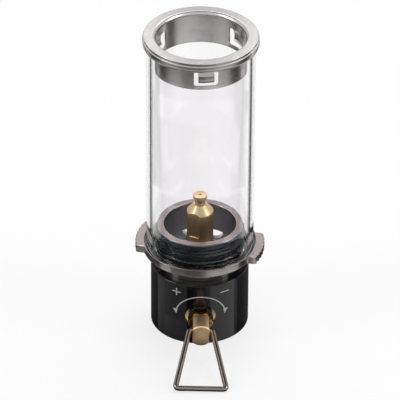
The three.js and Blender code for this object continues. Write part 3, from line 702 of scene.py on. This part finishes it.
class LANTERN_OT_marks(bpy.types.Operator):
    """Draw the plus, the minus and the arc arrow, and lay them on the body"""

    bl_idname = "lantern.marks"
    bl_label = "Marks"

    # The marks are drawn this far before the axis (mm) and then laid back on the body
    drawn_at = -24
    arc_sweep = 144

    def bar(self, name, centre, width, height):
        """A straight stroke, finely divided along its length."""
        piece = grid(12, 2) if width > height else grid(2, 12)
        scaled(piece, (width * MM, height * MM, 1))
        piece.name = name
        return place(piece, move=(centre[0], self.drawn_at, centre[1]), turn=LAID)

    def head(self, radius, side):
        """A triangle at one end of the arc, pointing down round it."""
        width, height, bearing, lean = 1.75, 2.1, 79.5, 10.5
        head = grid(6, 6)
        for vertex in head.data.vertices:
            share = vertex.co.y + 0.5
            vertex.co.x *= width * MM * max(share, 0.02)
            vertex.co.y = (share - 0.5) * height * MM
        x, y = around(radius, 90 - side * bearing)
        return place(head, move=(x, y, 0), turn=(0, 0, -side * lean))

    def arrow(self, name, stroke, radius):
        """The arc, an edge across the stroke spun about the valve's axis, with two heads."""
        ends = [((radius - stroke / 2) * MM, 0), ((radius + stroke / 2) * MM, 0)]
        piece = drawn_line(name, ends)
        spun(60, self.arc_sweep)
        leave_edit()
        place(piece, turn=(0, 0, self.first(piece)))
        piece = join([piece, self.head(radius, -1), self.head(radius, 1)], name)
        return place(piece, move=(0, self.drawn_at, VALVE_Z), turn=LAID)

    def first(self, piece):
        """The turn that centres the spun arc on the upright line."""
        middle = sum((v.co for v in piece.data.vertices), Vector()) / len(piece.data.vertices)
        return 90 - math.degrees(math.atan2(middle.y, middle.x))

    def lay(self, piece, shell):
        """Lays a flat mark on the body, 0.012 mm over it, and gives it a thickness."""
        changed(
            piece,
            "lay",
            "SHRINKWRAP",
            target=shell,
            wrap_method="PROJECT",
            use_project_x=False,
            use_project_z=False,
            use_project_y=True,
            use_positive_direction=True,
            use_negative_direction=False,
            offset=0.012 * MM,
        )
        changed(piece, "thick", "SOLIDIFY", thickness=0.05 * MM, offset=-1.0)
        edit()
        bpy.ops.mesh.select_all(action="SELECT")
        bpy.ops.mesh.normals_make_consistent(inside=False)
        leave_edit()

    def execute(self, context):
        stroke, radius = sizes().mark_width / MM, sizes().mark_radius / MM
        low, high = 2, BODY_TOP - 1
        profile = [(14, low), (BODY_RADIUS, low), (BODY_RADIUS, high), (14, high)]
        shell = turned("mark_shell", profile)
        plus = (-8.95, 22.3)
        bars = [
            self.bar("plus_across", plus, 3.0, stroke),
            self.bar("plus_upright", plus, stroke, 3.1),
        ]
        pieces = [
            join(bars, "mark_plus"),
            self.bar("mark_minus", (9.0, 22.2), 3.2, stroke),
            self.arrow("mark_arrow", stroke, radius),
        ]
        for piece in pieces:
            self.lay(piece, shell)
            finished(piece, "base", laser_mark)
        bpy.data.objects.remove(shell)
        return {"FINISHED"}


class LANTERN_OT_valve_block(bpy.types.Operator):
    """Turn and drill the valve block, with its screws, seal and pin"""

    bl_idname = "lantern.valve_block"
    bl_label = "Valve Block"

    def execute(self, context):
        flange_foot = DECK_FOOT - FLANGE_THICKNESS
        root, bore, barrel, flange, recess = 5.55, 5.15, 8.6, 12.5, 3.7
        foot, ceiling, recess_floor = 1.5, SOCKET_CEILING, 17.0
        profile = [
            (root, foot, 0.2), (barrel, foot, 0.5), (barrel, flange_foot, 0.3),
            (flange, flange_foot, 0.3), (flange, DECK_FOOT, 0.2), (recess, DECK_FOOT),
            (recess, recess_floor), (0, recess_floor), (0, ceiling), (bore, ceiling),
            (bore, 7.4), (root, 7.0),
        ]
        shape = turned("valve_block_turned", profile, steps=128)
        # The side boss, the gland's bore, the spindle's bore and the two gas ways
        combine(shape, on_valve_axis(drill(4.6, 5.3, 17.6)), "UNION")
        combine(shape, on_valve_axis(drill(3.3, 8.0, 18.6)))
        combine(shape, on_valve_axis(drill(1.9, 2.2, 9.0, facets=32)))
        combine(shape, drill(1.0, 11.0, recess_floor + 1, facets=24))
        combine(shape, drill(0.6, 8.0, 11.8, at=(0, -3.4), facets=24))
        drill_screw_holes(shape, DECK_FOOT - 5, DECK_FOOT + 1)
        finished(shape, "base", turned_brass, ["valve_block"])
        # Internal thread of the canister socket, 28 turns to the inch
        pitch = 25.4 / 28
        flank, crest = pitch * 0.4, pitch * 0.125
        section = [(5.7, -flank), (bore, -crest), (bore, crest), (5.7, flank)]
        wound = place(rib("socket_thread", section, pitch, 5), move=(0, 0, 2.2))
        finished(wound, "base", turned_brass)
        for index, at in enumerate(screw_places(), start=1):
            self.screw(index, at, flange_foot)
        self.seal_and_pin(ceiling)
        return {"FINISHED"}

    def seal_and_pin(self, ceiling):
        """The canister's seal and the pin that opens its valve, under the socket's ceiling."""
        inner, outer, foot = 4.1, 5.0, ceiling - 1.1
        profile = [(inner, foot, 0.25), (outer, foot, 0.25), (outer, ceiling, 0.1)]
        seal = turned("socket_seal", [*profile, (inner, ceiling, 0.1)])
        finished(seal, "base", nitrile_rubber, ["canister_seal"])
        radius, foot, rim, step = 0.9, 4.6, 2.4, ceiling - 1.0
        profile = [
            (0, foot), (radius, foot, 0.25), (radius, step, 0.15), (rim, step, 0.2),
            (rim, ceiling), (0, ceiling),
        ]
        pin = turned("opening_pin", profile, steps=64)
        finished(pin, "base", turned_brass, ["pin_depressor"])

    def screw(self, index, at, seat):
        """A socket head screw with a hexagon recess, its head below its seat."""
        head, shank, foot, end = 1.75, 0.95, seat - 1.9, DECK_FOOT + 1.8
        profile = [
            (0, foot), (head, foot, 0.2), (head, seat, 0.1), (shank, seat), (shank, end, 0.2),
            (0, end),
        ]
        shape = turned(f"socket_screw_{index}", profile, steps=48)
        combine(shape, drill(0.85, foot - 1, foot + 1.0, facets=6))
        place(shape, move=(at[0], at[1], 0))
        finished(shape, "base", plated_screw, [f"block_screw_{index}"])


class LANTERN_OT_gland(bpy.types.Operator):
    """Mill the hexagon gland nut and lay its washer"""

    bl_idname = "lantern.gland"
    bl_label = "Gland Nut"

    def execute(self, context):
        across_flats, long = 8.2, 3.7
        corner = across_flats / math.sqrt(3)
        front, back = NUT_FRONT, NUT_FRONT - long
        nut = place(drill(corner, back, front, facets=6), turn=(0, 0, 30))
        rim = corner + 0.01
        profile = [(0, back), (rim, back), (rim, front - 0.35), (corner - 0.6, front), (0, front)]
        combine(nut, turned("nut_blank", profile, steps=96), "INTERSECT")
        combine(nut, drill(3.05, front - 6.6, back + 0.4), "UNION")
        combine(nut, drill(2.05, front - 7, front + 1))
        nut.name = "hexagon_gland_nut"
        finished(on_valve_axis(nut), "base", nut_brass_painted_shade, ["gland_nut"])
        inner, outer, foot = 3.35, 4.7, back - 0.5
        profile = [
            (inner, foot, 0.1), (outer, foot, 0.15), (outer, back, 0.15), (inner, back, 0.1),
        ]
        washer = on_valve_axis(turned("sealing_washer", profile, steps=96))
        finished(washer, "base", nitrile_rubber, ["gland_washer"])
        return {"FINISHED"}


class LANTERN_OT_stem_head(bpy.types.Operator):
    """Turn the stem head, mill its two flats and drill its cross hole"""

    bl_idname = "lantern.stem_head"
    bl_label = "Stem Head"

    def execute(self, context):
        radius, half_flat = 4.35, 2.95
        profile = [
            (0, HEAD_BACK), (radius - 0.5, HEAD_BACK), (radius, HEAD_BACK + 0.5),
            (radius, HEAD_FRONT - 0.35), (radius - 0.4, HEAD_FRONT), (0, HEAD_FRONT),
        ]
        head = turned("stem_head_milled", profile, steps=96)
        activate(head)
        edit()
        for side in (-1, 1):
            bpy.ops.mesh.select_all(action="SELECT")
            bpy.ops.mesh.bisect(
                plane_co=(side * half_flat * MM, 0, 0),
                plane_no=(side, 0, 0),
                use_fill=True,
                clear_outer=True,
            )
        leave_edit()
        # The bore for the spindle's end, and the cross hole for the handle
        combine(head, drill(1.95, HEAD_BACK - 1, HEAD_BACK + 2.3, facets=48))
        hole = place(drill(1.15, -6, 6, facets=48), turn=(0, 90, 0))
        combine(head, place(hole, move=(0, 0, PIVOT_REACH)))
        soften(head, 0.12, segments=3)
        on_valve_axis(place(head, turn=(0, 0, -STEM_TURN)))
        finished(head, "valve_stem", milled_brass, ["stem_head"])
        return {"FINISHED"}


class LANTERN_OT_wire_handle(bpy.types.Operator):
    """Bend the wire handle from a line with rounded corners"""

    bl_idname = "lantern.wire_handle"
    bl_label = "Wire Handle"

    def execute(self, context):
        end, shoulder, half_bar, long = 1.3, 4.3, 9.5, 25.0
        half = [(-end, 0), (-shoulder, 0), (-half_bar, long)]
        corners = half + [(-x, z) for x, z in reversed(half)]
        wire = drawn_line("bent_wire", [(x * MM, z * MM) for x, z in corners])
        for index, bend in enumerate((1.3, 1.2, 1.2, 1.3), start=1):
            here = Vector(corners[index])
            before = (Vector(corners[index - 1]) - here).normalized()
            after = (Vector(corners[index + 1]) - here).normalized()
            run = bend / math.tan(before.angle(after) / 2)
            pick(wire, "VERT", near(here.x * MM, here.y * MM))
            bpy.ops.mesh.bevel(offset=run * MM, segments=10, affect="VERTICES")
        leave_edit()
        bpy.ops.object.convert(target="CURVE")
        wire = bpy.context.object
        wire.data.dimensions = "3D"
        wire.data.bevel_depth = sizes().wire_radius
        wire.data.bevel_resolution = 6
        wire.data.use_fill_caps = True
        bpy.ops.object.convert(target="MESH")
        wire = bpy.context.object
        edit()
        cleaned()
        # It hangs with one end of its bar on the table, the wire's middle 1 mm above that
        tilt, middle = math.radians(STEM_TURN), 1.0
        drop = (VALVE_Z - middle - half_bar * math.sin(tilt)) / (long * math.cos(tilt))
        place(wire, turn=(90 + math.degrees(math.asin(drop)), 0, 0))
        place(wire, move=(0, -PIVOT_REACH, VALVE_Z), turn=(0, STEM_TURN, 0))
        finished(wire, "handle", drawn_wire_painted_shade, ["wire_handle"])
        return {"FINISHED"}


class LANTERN_OT_burner_cup(bpy.types.Operator):
    """Turn the burner cup, open its air windows and wind its thread"""

    bl_idname = "lantern.burner_cup"
    bl_label = "Burner Cup"

    def windows(self, cup):
        """Mills two slots right through the cup, flat above and round below."""
        wide, sill, lintel, rounding = 15.8, CUP_FLOOR + 0.8, 31.8, 4.2
        tall = 8.6

        def lower(edge):
            low = all(v.co.z < 0 for v in edge.verts)
            long = abs(edge.verts[0].co.x - edge.verts[1].co.x) > 0.01
            return low and long

        for angle in (83, 173):
            window = block((40, wide, tall), (0, 0, sill + tall / 2), rounding, lower)
            combine(window, block((60, 60, 10), (0, 0, lintel + 5)))
            combine(cup, place(window, turn=(0, 0, angle)))

    def execute(self, context):
        pitch, depth = sizes().thread_pitch / MM, sizes().thread_depth / MM
        crest, root, bore, neck, shoulder = CUP_RADIUS, CUP_RADIUS - depth, 13.45, 15.2, 16.2
        profile = [
            (DECK_HOLE_RADIUS, BODY_TOP), (neck, BODY_TOP, 0.15), (neck, 29.4, 0.3),
            (shoulder, 30.4, 0.2), (shoulder, 32.2, 0.1), (root, 32.6, 0.1),
            (root, CUP_TOP - 0.45, 0.1), (root - 0.3, CUP_TOP, 0.12), (bore, CUP_TOP, 0.35),
            (bore, CUP_FLOOR, 0.5), (DECK_HOLE_RADIUS, CUP_FLOOR),
        ]
        cup = turned("cup_turned", profile)
        self.windows(cup)
        soften(cup, 0.12, angle=50)
        foot, flank, turns = root - 0.3, pitch * 0.4, 6
        section = [(foot, -flank), (crest, -pitch * 0.3), (crest, pitch * 0.3), (foot, flank)]
        thread = rib("cup_thread", section, pitch, turns)
        place(thread, move=(0, 0, CUP_TOP - 1.05 - turns * pitch))
        finished(cup, "base", plated_gunmetal, ["burner_cup"])
        cup.data.materials.append(stored(bare_nickel))
        cup.data.materials.append(stored(thread_plating_painted_shade))
        for face in cup.data.polygons:
            height = face.center.z / MM
            if across(face) < 13.8 and 27.3 < height < CUP_TOP - 0.4:
                face.material_index = 1
            # The thread's faces take the darker plating of painted shade
            if across(face) > root - 0.2 and height > 32.5:
                face.material_index = 2
        finished(thread, "base", thread_plating_painted_shade)
        return {"FINISHED"}


class LANTERN_OT_burner_post(bpy.types.Operator):
    """Turn the burner post and mill its two flats, then turn the jet"""

    bl_idname = "lantern.burner_post"
    bl_label = "Burner Post and Jet"

    def execute(self, context):
        bore, spigot, neck, radius = 1.5, 3.4, 2.35, 4.98
        shoulder, top = 48.5, 51.5
        profile = [
            (bore, 20.5), (2.2, 20.5), (2.2, 17.5), (spigot, 17.5, 0.3), (spigot, CUP_FLOOR),
            (radius, CUP_FLOOR, 0.2), (radius, shoulder, 0.25), (neck, top, 0.1), (bore, top),
        ]
        post = turned("post_turned", profile, steps=128)
        half_flat, flat_foot, bearing = 4.45, 38.9, -120.2
        for side in (0, 180):
            cut = block((6, 20, 14), (half_flat + 3, 0, flat_foot + 7))
            combine(post, place(cut, turn=(0, 0, bearing + side)))
        soften(post, 0.07, angle=35)
        finished(post, "base", turned_brass, ["burner_post"])
        top, hole, tube = JET_TOP, 0.42, 1.35
        profile = [
            (0.8, top - 7.1), (tube, top - 7.1), (tube, top - 3.9), (2.1, top - 3.9, 0.1),
            (1.95, top - 2.7, 0.4), (2.1, top - 1.75, 0.15), (2.65, top - 1.5, 0.2),
            (2.65, top, 0.28), (hole + 0.14, top), (hole, top - 0.2), (hole, top - 1.9),
            (0.8, top - 2.1),
        ]
        jet = turned("jet_turned", profile, steps=96)
        finished(jet, "base", turned_brass, ["burner_jet"])
        return {"FINISHED"}


class LANTERN_OT_winged_ring(bpy.types.Operator):
    """Turn the ring, draw out its two wings and flute their rims"""

    bl_idname = "lantern.winged_ring"
    bl_label = "Winged Ring"

    def outline(self, angle):
        """How far the rim stands out of the plain ring at an angle, in millimetres."""
        reach = sizes().wing_reach / MM - RING_RADIUS
        half_span, flank, flutes = 23.5, 4.2, 7
        for centre in (-11.2, 168.8):
            inward = half_span - between(angle, centre)
            if inward <= 0:
                continue
            if inward < flank:
                return reach * math.sin(math.pi / 2 * inward / flank)
            phase = (inward - flank) / (2 * (half_span - flank) / flutes) % 1
            return reach - sizes().flute_depth / MM * math.sin(math.pi * phase) ** 2
        return 0.0

    def execute(self, context):
        low, high = RING_LOW.z, RING_HIGH.z
        bore, pocket, ledge = 16.6, 20.95, low + 1.2
        profile = [
            (bore, low, 0.25), (RING_RADIUS, low, 0.12), (RING_RADIUS, high, 0.1),
            (pocket, high, 0.06), (pocket, ledge), (bore, ledge, 0.2),
        ]
        ring = turned("ring_with_wings", profile, steps=720)
        for vertex in ring.data.vertices:
            if vertex.co.to_2d().length > (RING_RADIUS - 0.2) * MM:
                angle = math.degrees(math.atan2(vertex.co.y, vertex.co.x))
                swell(vertex, self.outline(angle))
        finished(ring, "ring", plated_gunmetal, ["winged_ring"])
        # The ledge round the cup takes the thread's darker plating: painted shade in the undercut
        ring.data.materials.append(stored(thread_plating_painted_shade))
        for face in ring.data.polygons:
            if across(face) < 20.8 and face.normal.z > 0.3:
                face.material_index = 1
        return {"FINISHED"}


class LANTERN_OT_chimney(bpy.types.Operator):
    """Draw the glass chimney and lay its gasket"""

    bl_idname = "lantern.chimney"
    bl_label = "Glass Chimney"

    def execute(self, context):
        outer = sizes().glass_radius / MM
        inner = outer - sizes().glass_wall / MM
        low, high = GLASS_LOW.z, GLASS_HIGH.z
        profile = [(inner, low, 0.4), (outer, low, 0.4), (outer, high, 0.4), (inner, high, 0.4)]
        glass = turned("glass_tube", profile, steps=256)
        finished(glass, "glass_unit", drawn_glass, ["glass_chimney"])
        foot = low - 0.8
        profile = [(17.9, foot), (20.05, foot), (20.05, low, 0.2), (17.9, low, 0.2)]
        gasket = turned("flat_gasket", profile)
        finished(gasket, "glass_unit", silicone, ["glass_gasket"])
        return {"FINISHED"}


class LANTERN_OT_collar(bpy.types.Operator):
    """Turn the top collar with its rounded lip and stepped rim"""

    bl_idname = "lantern.collar"
    bl_label = "Top Collar"

    def execute(self, context):
        top, foot, radius = COLLAR_HIGH.z, COLLAR_LOW.z, COLLAR_HIGH.x
        bore, rim, ceiling, skirt = 16.4, 20.35, top - 1.2, foot - 0.45
        profile = [
            (bore, ceiling), (rim, ceiling), (rim, skirt, 0.1), (radius - 0.35, skirt, 0.25),
            (radius, foot + 0.3, 0.5), (radius, top - 1.4, 0.25), (radius - 0.12, top - 1.0, 0.1),
            (radius - 0.45, top - 0.95, 0.05), (radius - 0.45, top, 0.22),
            (bore + 0.8, top, 0.35), (bore, top - 0.8, 0.4),
        ]
        collar = turned("collar_turned", profile, steps=256)
        finished(collar, "collar", turned_stainless, ["top_collar"])
        return {"FINISHED"}


class LANTERN_OT_sleeve(bpy.types.Operator):
    """Roll the spring sleeve, punch three U-shaped slots and bend the tongues out"""

    bl_idname = "lantern.sleeve"
    bl_label = "Spring Sleeve"

    angles = (-84.8, 35.2, 155.2)
    outer = 16.9
    half_tongue = 2.65
    slot_width = 1.6
    # Heights of a tongue's parts, in millimetres
    root = SLEEVE_HIGH.z - 3.0
    knee = SLEEVE_HIGH.z - 7.0
    tip = SLEEVE_HIGH.z - 8.3
    slot_foot = SLEEVE_HIGH.z - 9.85

    def execute(self, context):
        low, high = SLEEVE_LOW.z, SLEEVE_HIGH.z
        outer, inner = self.outer, self.outer - sizes().sleeve_wall / MM
        # Rows of points down the outer wall and up the inner one, close enough to bend
        rows = [low + 2.2 + 0.3 * step for step in range(24)]
        profile = [(inner, low, 0.12), (outer, low, 0.12), *[(outer, row) for row in rows]]
        profile += [(outer, high), (inner, high), *[(inner, row) for row in reversed(rows)]]
        sleeve = turned("spring_sleeve_rolled", profile, steps=360)
        for angle in self.angles:
            combine(sleeve, self.slot(angle))
        self.bend(sleeve)
        finished(sleeve, "collar", rolled_stainless, ["spring_sleeve"], smooth=50)
        return {"FINISHED"}

    def slot(self, angle):
        """The U-shaped punch: a block with round lower corners, less the tongue's own block."""

        def corner(edge):
            along_x = abs(edge.verts[0].co.x - edge.verts[1].co.x) > 0.004
            return along_x and all(v.co.z < 0 for v in edge.verts)

        wide = 2 * (self.half_tongue + self.slot_width)
        middle = (self.outer, 0, (self.root + self.slot_foot) / 2)
        punch = block((8, wide, self.root - self.slot_foot), middle, 0.7, corner)
        tall = self.root - self.tip + 1
        middle = (self.outer, 0, self.tip + tall / 2)
        combine(punch, block((9, 2 * self.half_tongue, tall), middle))
        return place(punch, turn=(0, 0, angle))

    def bend(self, sleeve):
        """Pushes each tongue out to its knee and back in to its tip."""
        root, knee, tip = self.root, self.knee, self.tip
        half = math.degrees(self.half_tongue / self.outer) + 0.4
        for vertex in sleeve.data.vertices:
            height = vertex.co.z / MM
            angle = math.degrees(math.atan2(vertex.co.y, vertex.co.x))
            if not tip - 0.05 < height < root - 0.02:
                continue
            if min(between(angle, a) for a in self.angles) > half:
                continue
            if height > knee:
                share = (root - height) / (root - knee)
                out = 1.1 * math.sin(math.pi / 2 * min(share * 1.3, 1.0))
            else:
                out = 0.4 + 0.7 * math.sin(math.pi / 2 * (height - tip) / (knee - tip))
            swell(vertex, out)


class LANTERN_OT_inner_parts(bpy.types.Operator):
    """Give the inner solids that stay as they are their finishes"""

    bl_idname = "lantern.inner_parts"
    bl_label = "Inner Parts"

    def execute(self, context):
        for name, finish in (
            ("valve_spindle", milled_brass),
            ("needle", plated_screw),
            ("gland_seal", nitrile_rubber),
            ("gas_filter", sintered),
        ):
            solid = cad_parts[name]
            solid.data.materials.clear()
            solid.data.materials.append(stored(finish))
        return {"FINISHED"}


# Painted reflections: grey cards on the floor that only mirror images see, in groups for one
# mirroring wall and reach: the wall's radius (mm) and the reach from the wall (mm), then for
# each card the bearings of the mirror image from the front (degrees) and the grey
BODY_REACH = (0.3, 41.5)
INSIDE_REACH = (104, 159)
OUTSIDE_REACH = (159, 177)
COLLAR_REACH = (177, 800)
PAINTED_REFLECTION_CARDS = (
    # Base body
    (18.4, (0.3, 26), ((-9, 9, 0.01),)),
    (18.4, (36, 41.5), ((-9, 9, 0.01),)),
    (18.4, BODY_REACH, ((-32, -9, 0.01), (9, 14, 0.2), (14, 24, 0.5))),
    (18.4, (0.3, 14), ((-92, -32, 0.68),)),
    (18.4, (14, 41.5), ((-92, -32, 0.42),)),
    (18.4, BODY_REACH, ((-118, -92, 0.5), (-179, -118, 0.08), (88, 98, 0.4), (98, 179, 0.1))),
    # Winged ring
    (21.3, (43, 54.5), ((-64, -34, 0.16), (-34, 4, 0.05), (4, 13, 0.3))),
    (21.3, (43, 57), ((84, 106, 0.02), (-179, -94, 0.02))),
    # Burner cup, and the glass in front of it
    (16.5, (59.5, 67.5), ((-179, 179, 0.03),)),
    (16.5, (46, 59.5), ((-179, -84, 0.02), (84, 179, 0.02))),
    (20.0, (54, 100), ((-100, 100, 0.03),)),
    # Sleeve, from inside and from outside
    (17.0, INSIDE_REACH, ((-125, -84, 0.13), (-84, -70, 0.4), (-70, -45, 0.6), (-45, -14, 0.42))),
    (17.0, INSIDE_REACH, ((-14, 4, 0.52), (4, 24, 0.68), (70, 84, 0.3), (84, 112, 0.1))),
    (17.0, OUTSIDE_REACH, ((-126, -104, 0.04), (76, 96, 0.06), (96, 120, 0.2))),
    # Collar
    (17.0, COLLAR_REACH, ((-120, -80, 0.03), (-80, -46, 0.36), (-46, 8, 0.12), (8, 26, 0.28))),
    (17.0, COLLAR_REACH, ((26, 54, 0.52), (54, 72, 0.38), (72, 110, 0.04))),
    # Inner edges of the glass
    (20.0, (54, 800), ((130, 146, 0.02), (-146, -130, 0.02))),
)


class LANTERN_OT_stage(bpy.types.Operator):
    """Lay the pale floor, hang the lamps and set the camera"""

    bl_idname = "lantern.stage"
    bl_label = "Studio Stage"

    def lamp(self, name, at, size, power):
        """A soft rectangular lamp aimed at the lantern's middle, in metres and watts."""
        data = bpy.data.lights.new(name, "AREA")
        data.shape = "RECTANGLE"
        data.size, data.size_y = size
        data.energy = power
        lamp = bpy.data.objects.new(name, data)
        lamp.location = at
        aim = Vector((0, AXIS_Y * MM, 0.06))
        lamp.rotation_euler = (aim - Vector(at)).to_track_quat("-Z", "Y").to_euler()
        lamp.visible_camera = False
        bpy.context.scene.collection.objects.link(lamp)

    def white_share(self, tree, share):
        """A share for rays that see the background: the camera's, mirrored and refracted."""
        path = node(tree, "ShaderNodeLightPath")
        links = {0: (path, "Is Camera Ray"), 1: (path, "Is Glossy Ray")}
        first = node(tree, "ShaderNodeMath", links=links, operation="MAXIMUM")
        links = {0: (first, "Value"), 1: (path, "Is Transmission Ray")}
        both = node(tree, "ShaderNodeMath", links=links, operation="MAXIMUM")
        links = {0: (both, "Value")}
        return node(tree, "ShaderNodeMath", {1: share}, links, operation="MULTIPLY"), "Value"

    def either(self, tree, share, first, second):
        """Mixes two shaders by a share."""
        links = {0: share, 1: first, 2: second}
        return node(tree, "ShaderNodeMixShader", links=links), "Shader"

    def matt(self, tree, colour_value):
        return node(tree, "ShaderNodeBsdfDiffuse", {"Color": (*colour_value, 1)}), "BSDF"

    def clear(self, tree):
        return node(tree, "ShaderNodeBsdfTransparent"), "BSDF"

    def floor(self):
        """A pale matt floor, mostly white to the camera and clear from below."""
        deselect()
        bpy.ops.mesh.primitive_plane_add(size=6, location=(0, 0, 0))
        floor = bpy.context.object
        floor.name = "floor"
        made, tree = blank(bpy.data.materials.new("pale studio floor"))
        white = node(tree, "ShaderNodeEmission", {"Strength": 1.0}), "Emission"
        share = self.white_share(tree, 0.75)
        upper = self.either(tree, share, self.matt(tree, finishes().floor), white)
        below = node(tree, "ShaderNodeNewGeometry"), "Backfacing"
        surface = self.either(tree, below, upper, self.clear(tree))
        node(tree, "ShaderNodeOutputMaterial", links={"Surface": surface})
        floor.data.materials.append(made)

    def mirror_only(self, card, grey):
        """Paints a card grey and lets it be seen only in mirror images, as a painted reflection."""
        made, tree = blank(bpy.data.materials.new(card.name))
        mirrored = node(tree, "ShaderNodeLightPath"), "Glossy Depth"
        surface = self.either(tree, mirrored, self.clear(tree), self.matt(tree, [grey] * 3))
        node(tree, "ShaderNodeOutputMaterial", links={"Surface": surface})
        card.data.materials.append(made)
        card.visible_camera = False
        card.visible_diffuse = False
        card.visible_shadow = False

    def painted_reflection_card(self, index, radius, bearings, reach, grey):
        """A painted reflection: a card where an upright cylinder mirrors the floor, between two
        bearings.
        """
        card = grid(32, 1)
        card.name = f"painted_reflection_card_{index}"
        for vertex in card.data.vertices:
            share = vertex.co.x + 0.5
            bearing = math.radians(bearings[0] + (bearings[1] - bearings[0]) * share)
            away = reach[0] if vertex.co.y < 0 else reach[1]
            # The wall that mirrors this bearing towards the camera faces half of it
            x = radius * math.sin(bearing / 2) + away * math.sin(bearing)
            y = -radius * math.cos(bearing / 2) - away * math.cos(bearing)
            vertex.co = (x * MM, (AXIS_Y + y) * MM, 0.2 * MM)
        self.mirror_only(card, grey)

    def flat_card(self, name, at, size, grey):
        """A level rectangular card, in metres."""
        deselect()
        bpy.ops.mesh.primitive_plane_add(size=1, location=at)
        card = bpy.context.object
        card.name = name
        scaled(card, (*size, 1))
        self.mirror_only(card, grey)

    def world(self):
        """White to the camera and in mirror images, and a softer light for the rest."""
        world, tree = blank(bpy.data.worlds.new("studio"))
        bpy.context.scene.world = world
        strength = spread(tree, self.white_share(tree, 1.0), 0.55, 1.0)
        sky = node(tree, "ShaderNodeBackground", links={"Strength": strength})
        node(tree, "ShaderNodeOutputWorld", links={"Surface": (sky, "Background")})

    def camera(self):
        """The photograph's camera, in millimetres and degrees."""
        tilt, roll, azimuth, away = math.radians(32.836), math.radians(0.3147), -1.2, 1400
        target = Vector((-0.05, AXIS_Y, 52.42))
        data = bpy.data.cameras.new("camera")
        data.sensor_width, data.lens = 36, 338.65
        data.clip_start, data.clip_end = 0.05, 50
        camera = bpy.data.objects.new("camera", data)
        side = Matrix.Rotation(math.radians(azimuth), 4, "Z")
        at = target + side @ Vector((0, -math.cos(tilt), math.sin(tilt))) * away
        turn = side @ Matrix.Rotation(math.pi / 2 - tilt, 4, "X")
        turn = turn @ Matrix.Rotation(roll, 4, "Z")
        camera.matrix_world = Matrix.Translation(at * MM) @ turn
        bpy.context.scene.collection.objects.link(camera)
        bpy.context.scene.camera = camera

    def execute(self, context):
        self.floor()
        index = 0
        for radius, reach, cards in PAINTED_REFLECTION_CARDS:
            for start, end, grey in cards:
                index += 1
                self.painted_reflection_card(index, radius, (start, end), reach, grey)
        # A dark card overhead that only mirror images see: a painted reflection, darkening the sky
        # in the metals
        self.flat_card("overhead_painted_reflection_card", (0, 0.24, 0.8), (0.9, 0.6), 0.05)
        # A dark strip that the lower side of the handle's bar mirrors: painted shade under the bar
        at = (0, HANDLE_FRONT * MM - 0.0014, 0.0001)
        self.flat_card("handle_painted_shade_card", at, (0.023, 0.0036), 0.02)
        self.world()
        self.camera()
        self.lamp("key_softbox", (0.1, 0.5, 1.0), (0.8, 0.8), 6.0)
        self.lamp("left_strip", (-0.6, -0.15, 0.45), (0.2, 0.7), 1.5)
        self.lamp("right_strip", (0.6, -0.15, 0.45), (0.2, 0.7), 1.5)
        context.scene.view_settings.view_transform = "Standard"
        return {"FINISHED"}


OPERATORS = (
    LANTERN_OT_stage,
    LANTERN_OT_body,
    LANTERN_OT_marks,
    LANTERN_OT_valve_block,
    LANTERN_OT_gland,
    LANTERN_OT_stem_head,
    LANTERN_OT_wire_handle,
    LANTERN_OT_burner_cup,
    LANTERN_OT_burner_post,
    LANTERN_OT_winged_ring,
    LANTERN_OT_chimney,
    LANTERN_OT_collar,
    LANTERN_OT_sleeve,
    LANTERN_OT_inner_parts,
)


class LANTERN_PT_panel(bpy.types.Panel):
    """Lists the lantern's pieces, sizes and finishes"""

    bl_label = "Gas Lantern"
    bl_idname = "LANTERN_PT_panel"
    bl_space_type = "VIEW_3D"
    bl_region_type = "UI"
    bl_category = "Lantern"

    def draw(self, context):
        layout = self.layout
        column = layout.column(align=True)
        for operator in OPERATORS:
            column.operator(operator.bl_idname)
        for group in (context.scene.lantern_sizes, context.scene.lantern_finishes):
            column = layout.column()
            for name in group.__annotations__:
                column.prop(group, name)


CLASSES = (LanternSizes, LanternFinishes, *OPERATORS, LANTERN_PT_panel)


def register():
    for item in CLASSES:
        bpy.utils.register_class(item)
    bpy.types.Scene.lantern_sizes = PointerProperty(type=LanternSizes)
    bpy.types.Scene.lantern_finishes = PointerProperty(type=LanternFinishes)


def unregister():
    del bpy.types.Scene.lantern_finishes
    del bpy.types.Scene.lantern_sizes
    for item in reversed(CLASSES):
        bpy.utils.unregister_class(item)


def main():
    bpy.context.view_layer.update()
    register()
    for operator in OPERATORS:
        group, name = operator.bl_idname.split(".")
        getattr(getattr(bpy.ops, group), name)()


if __name__ == "__main__":
    main()
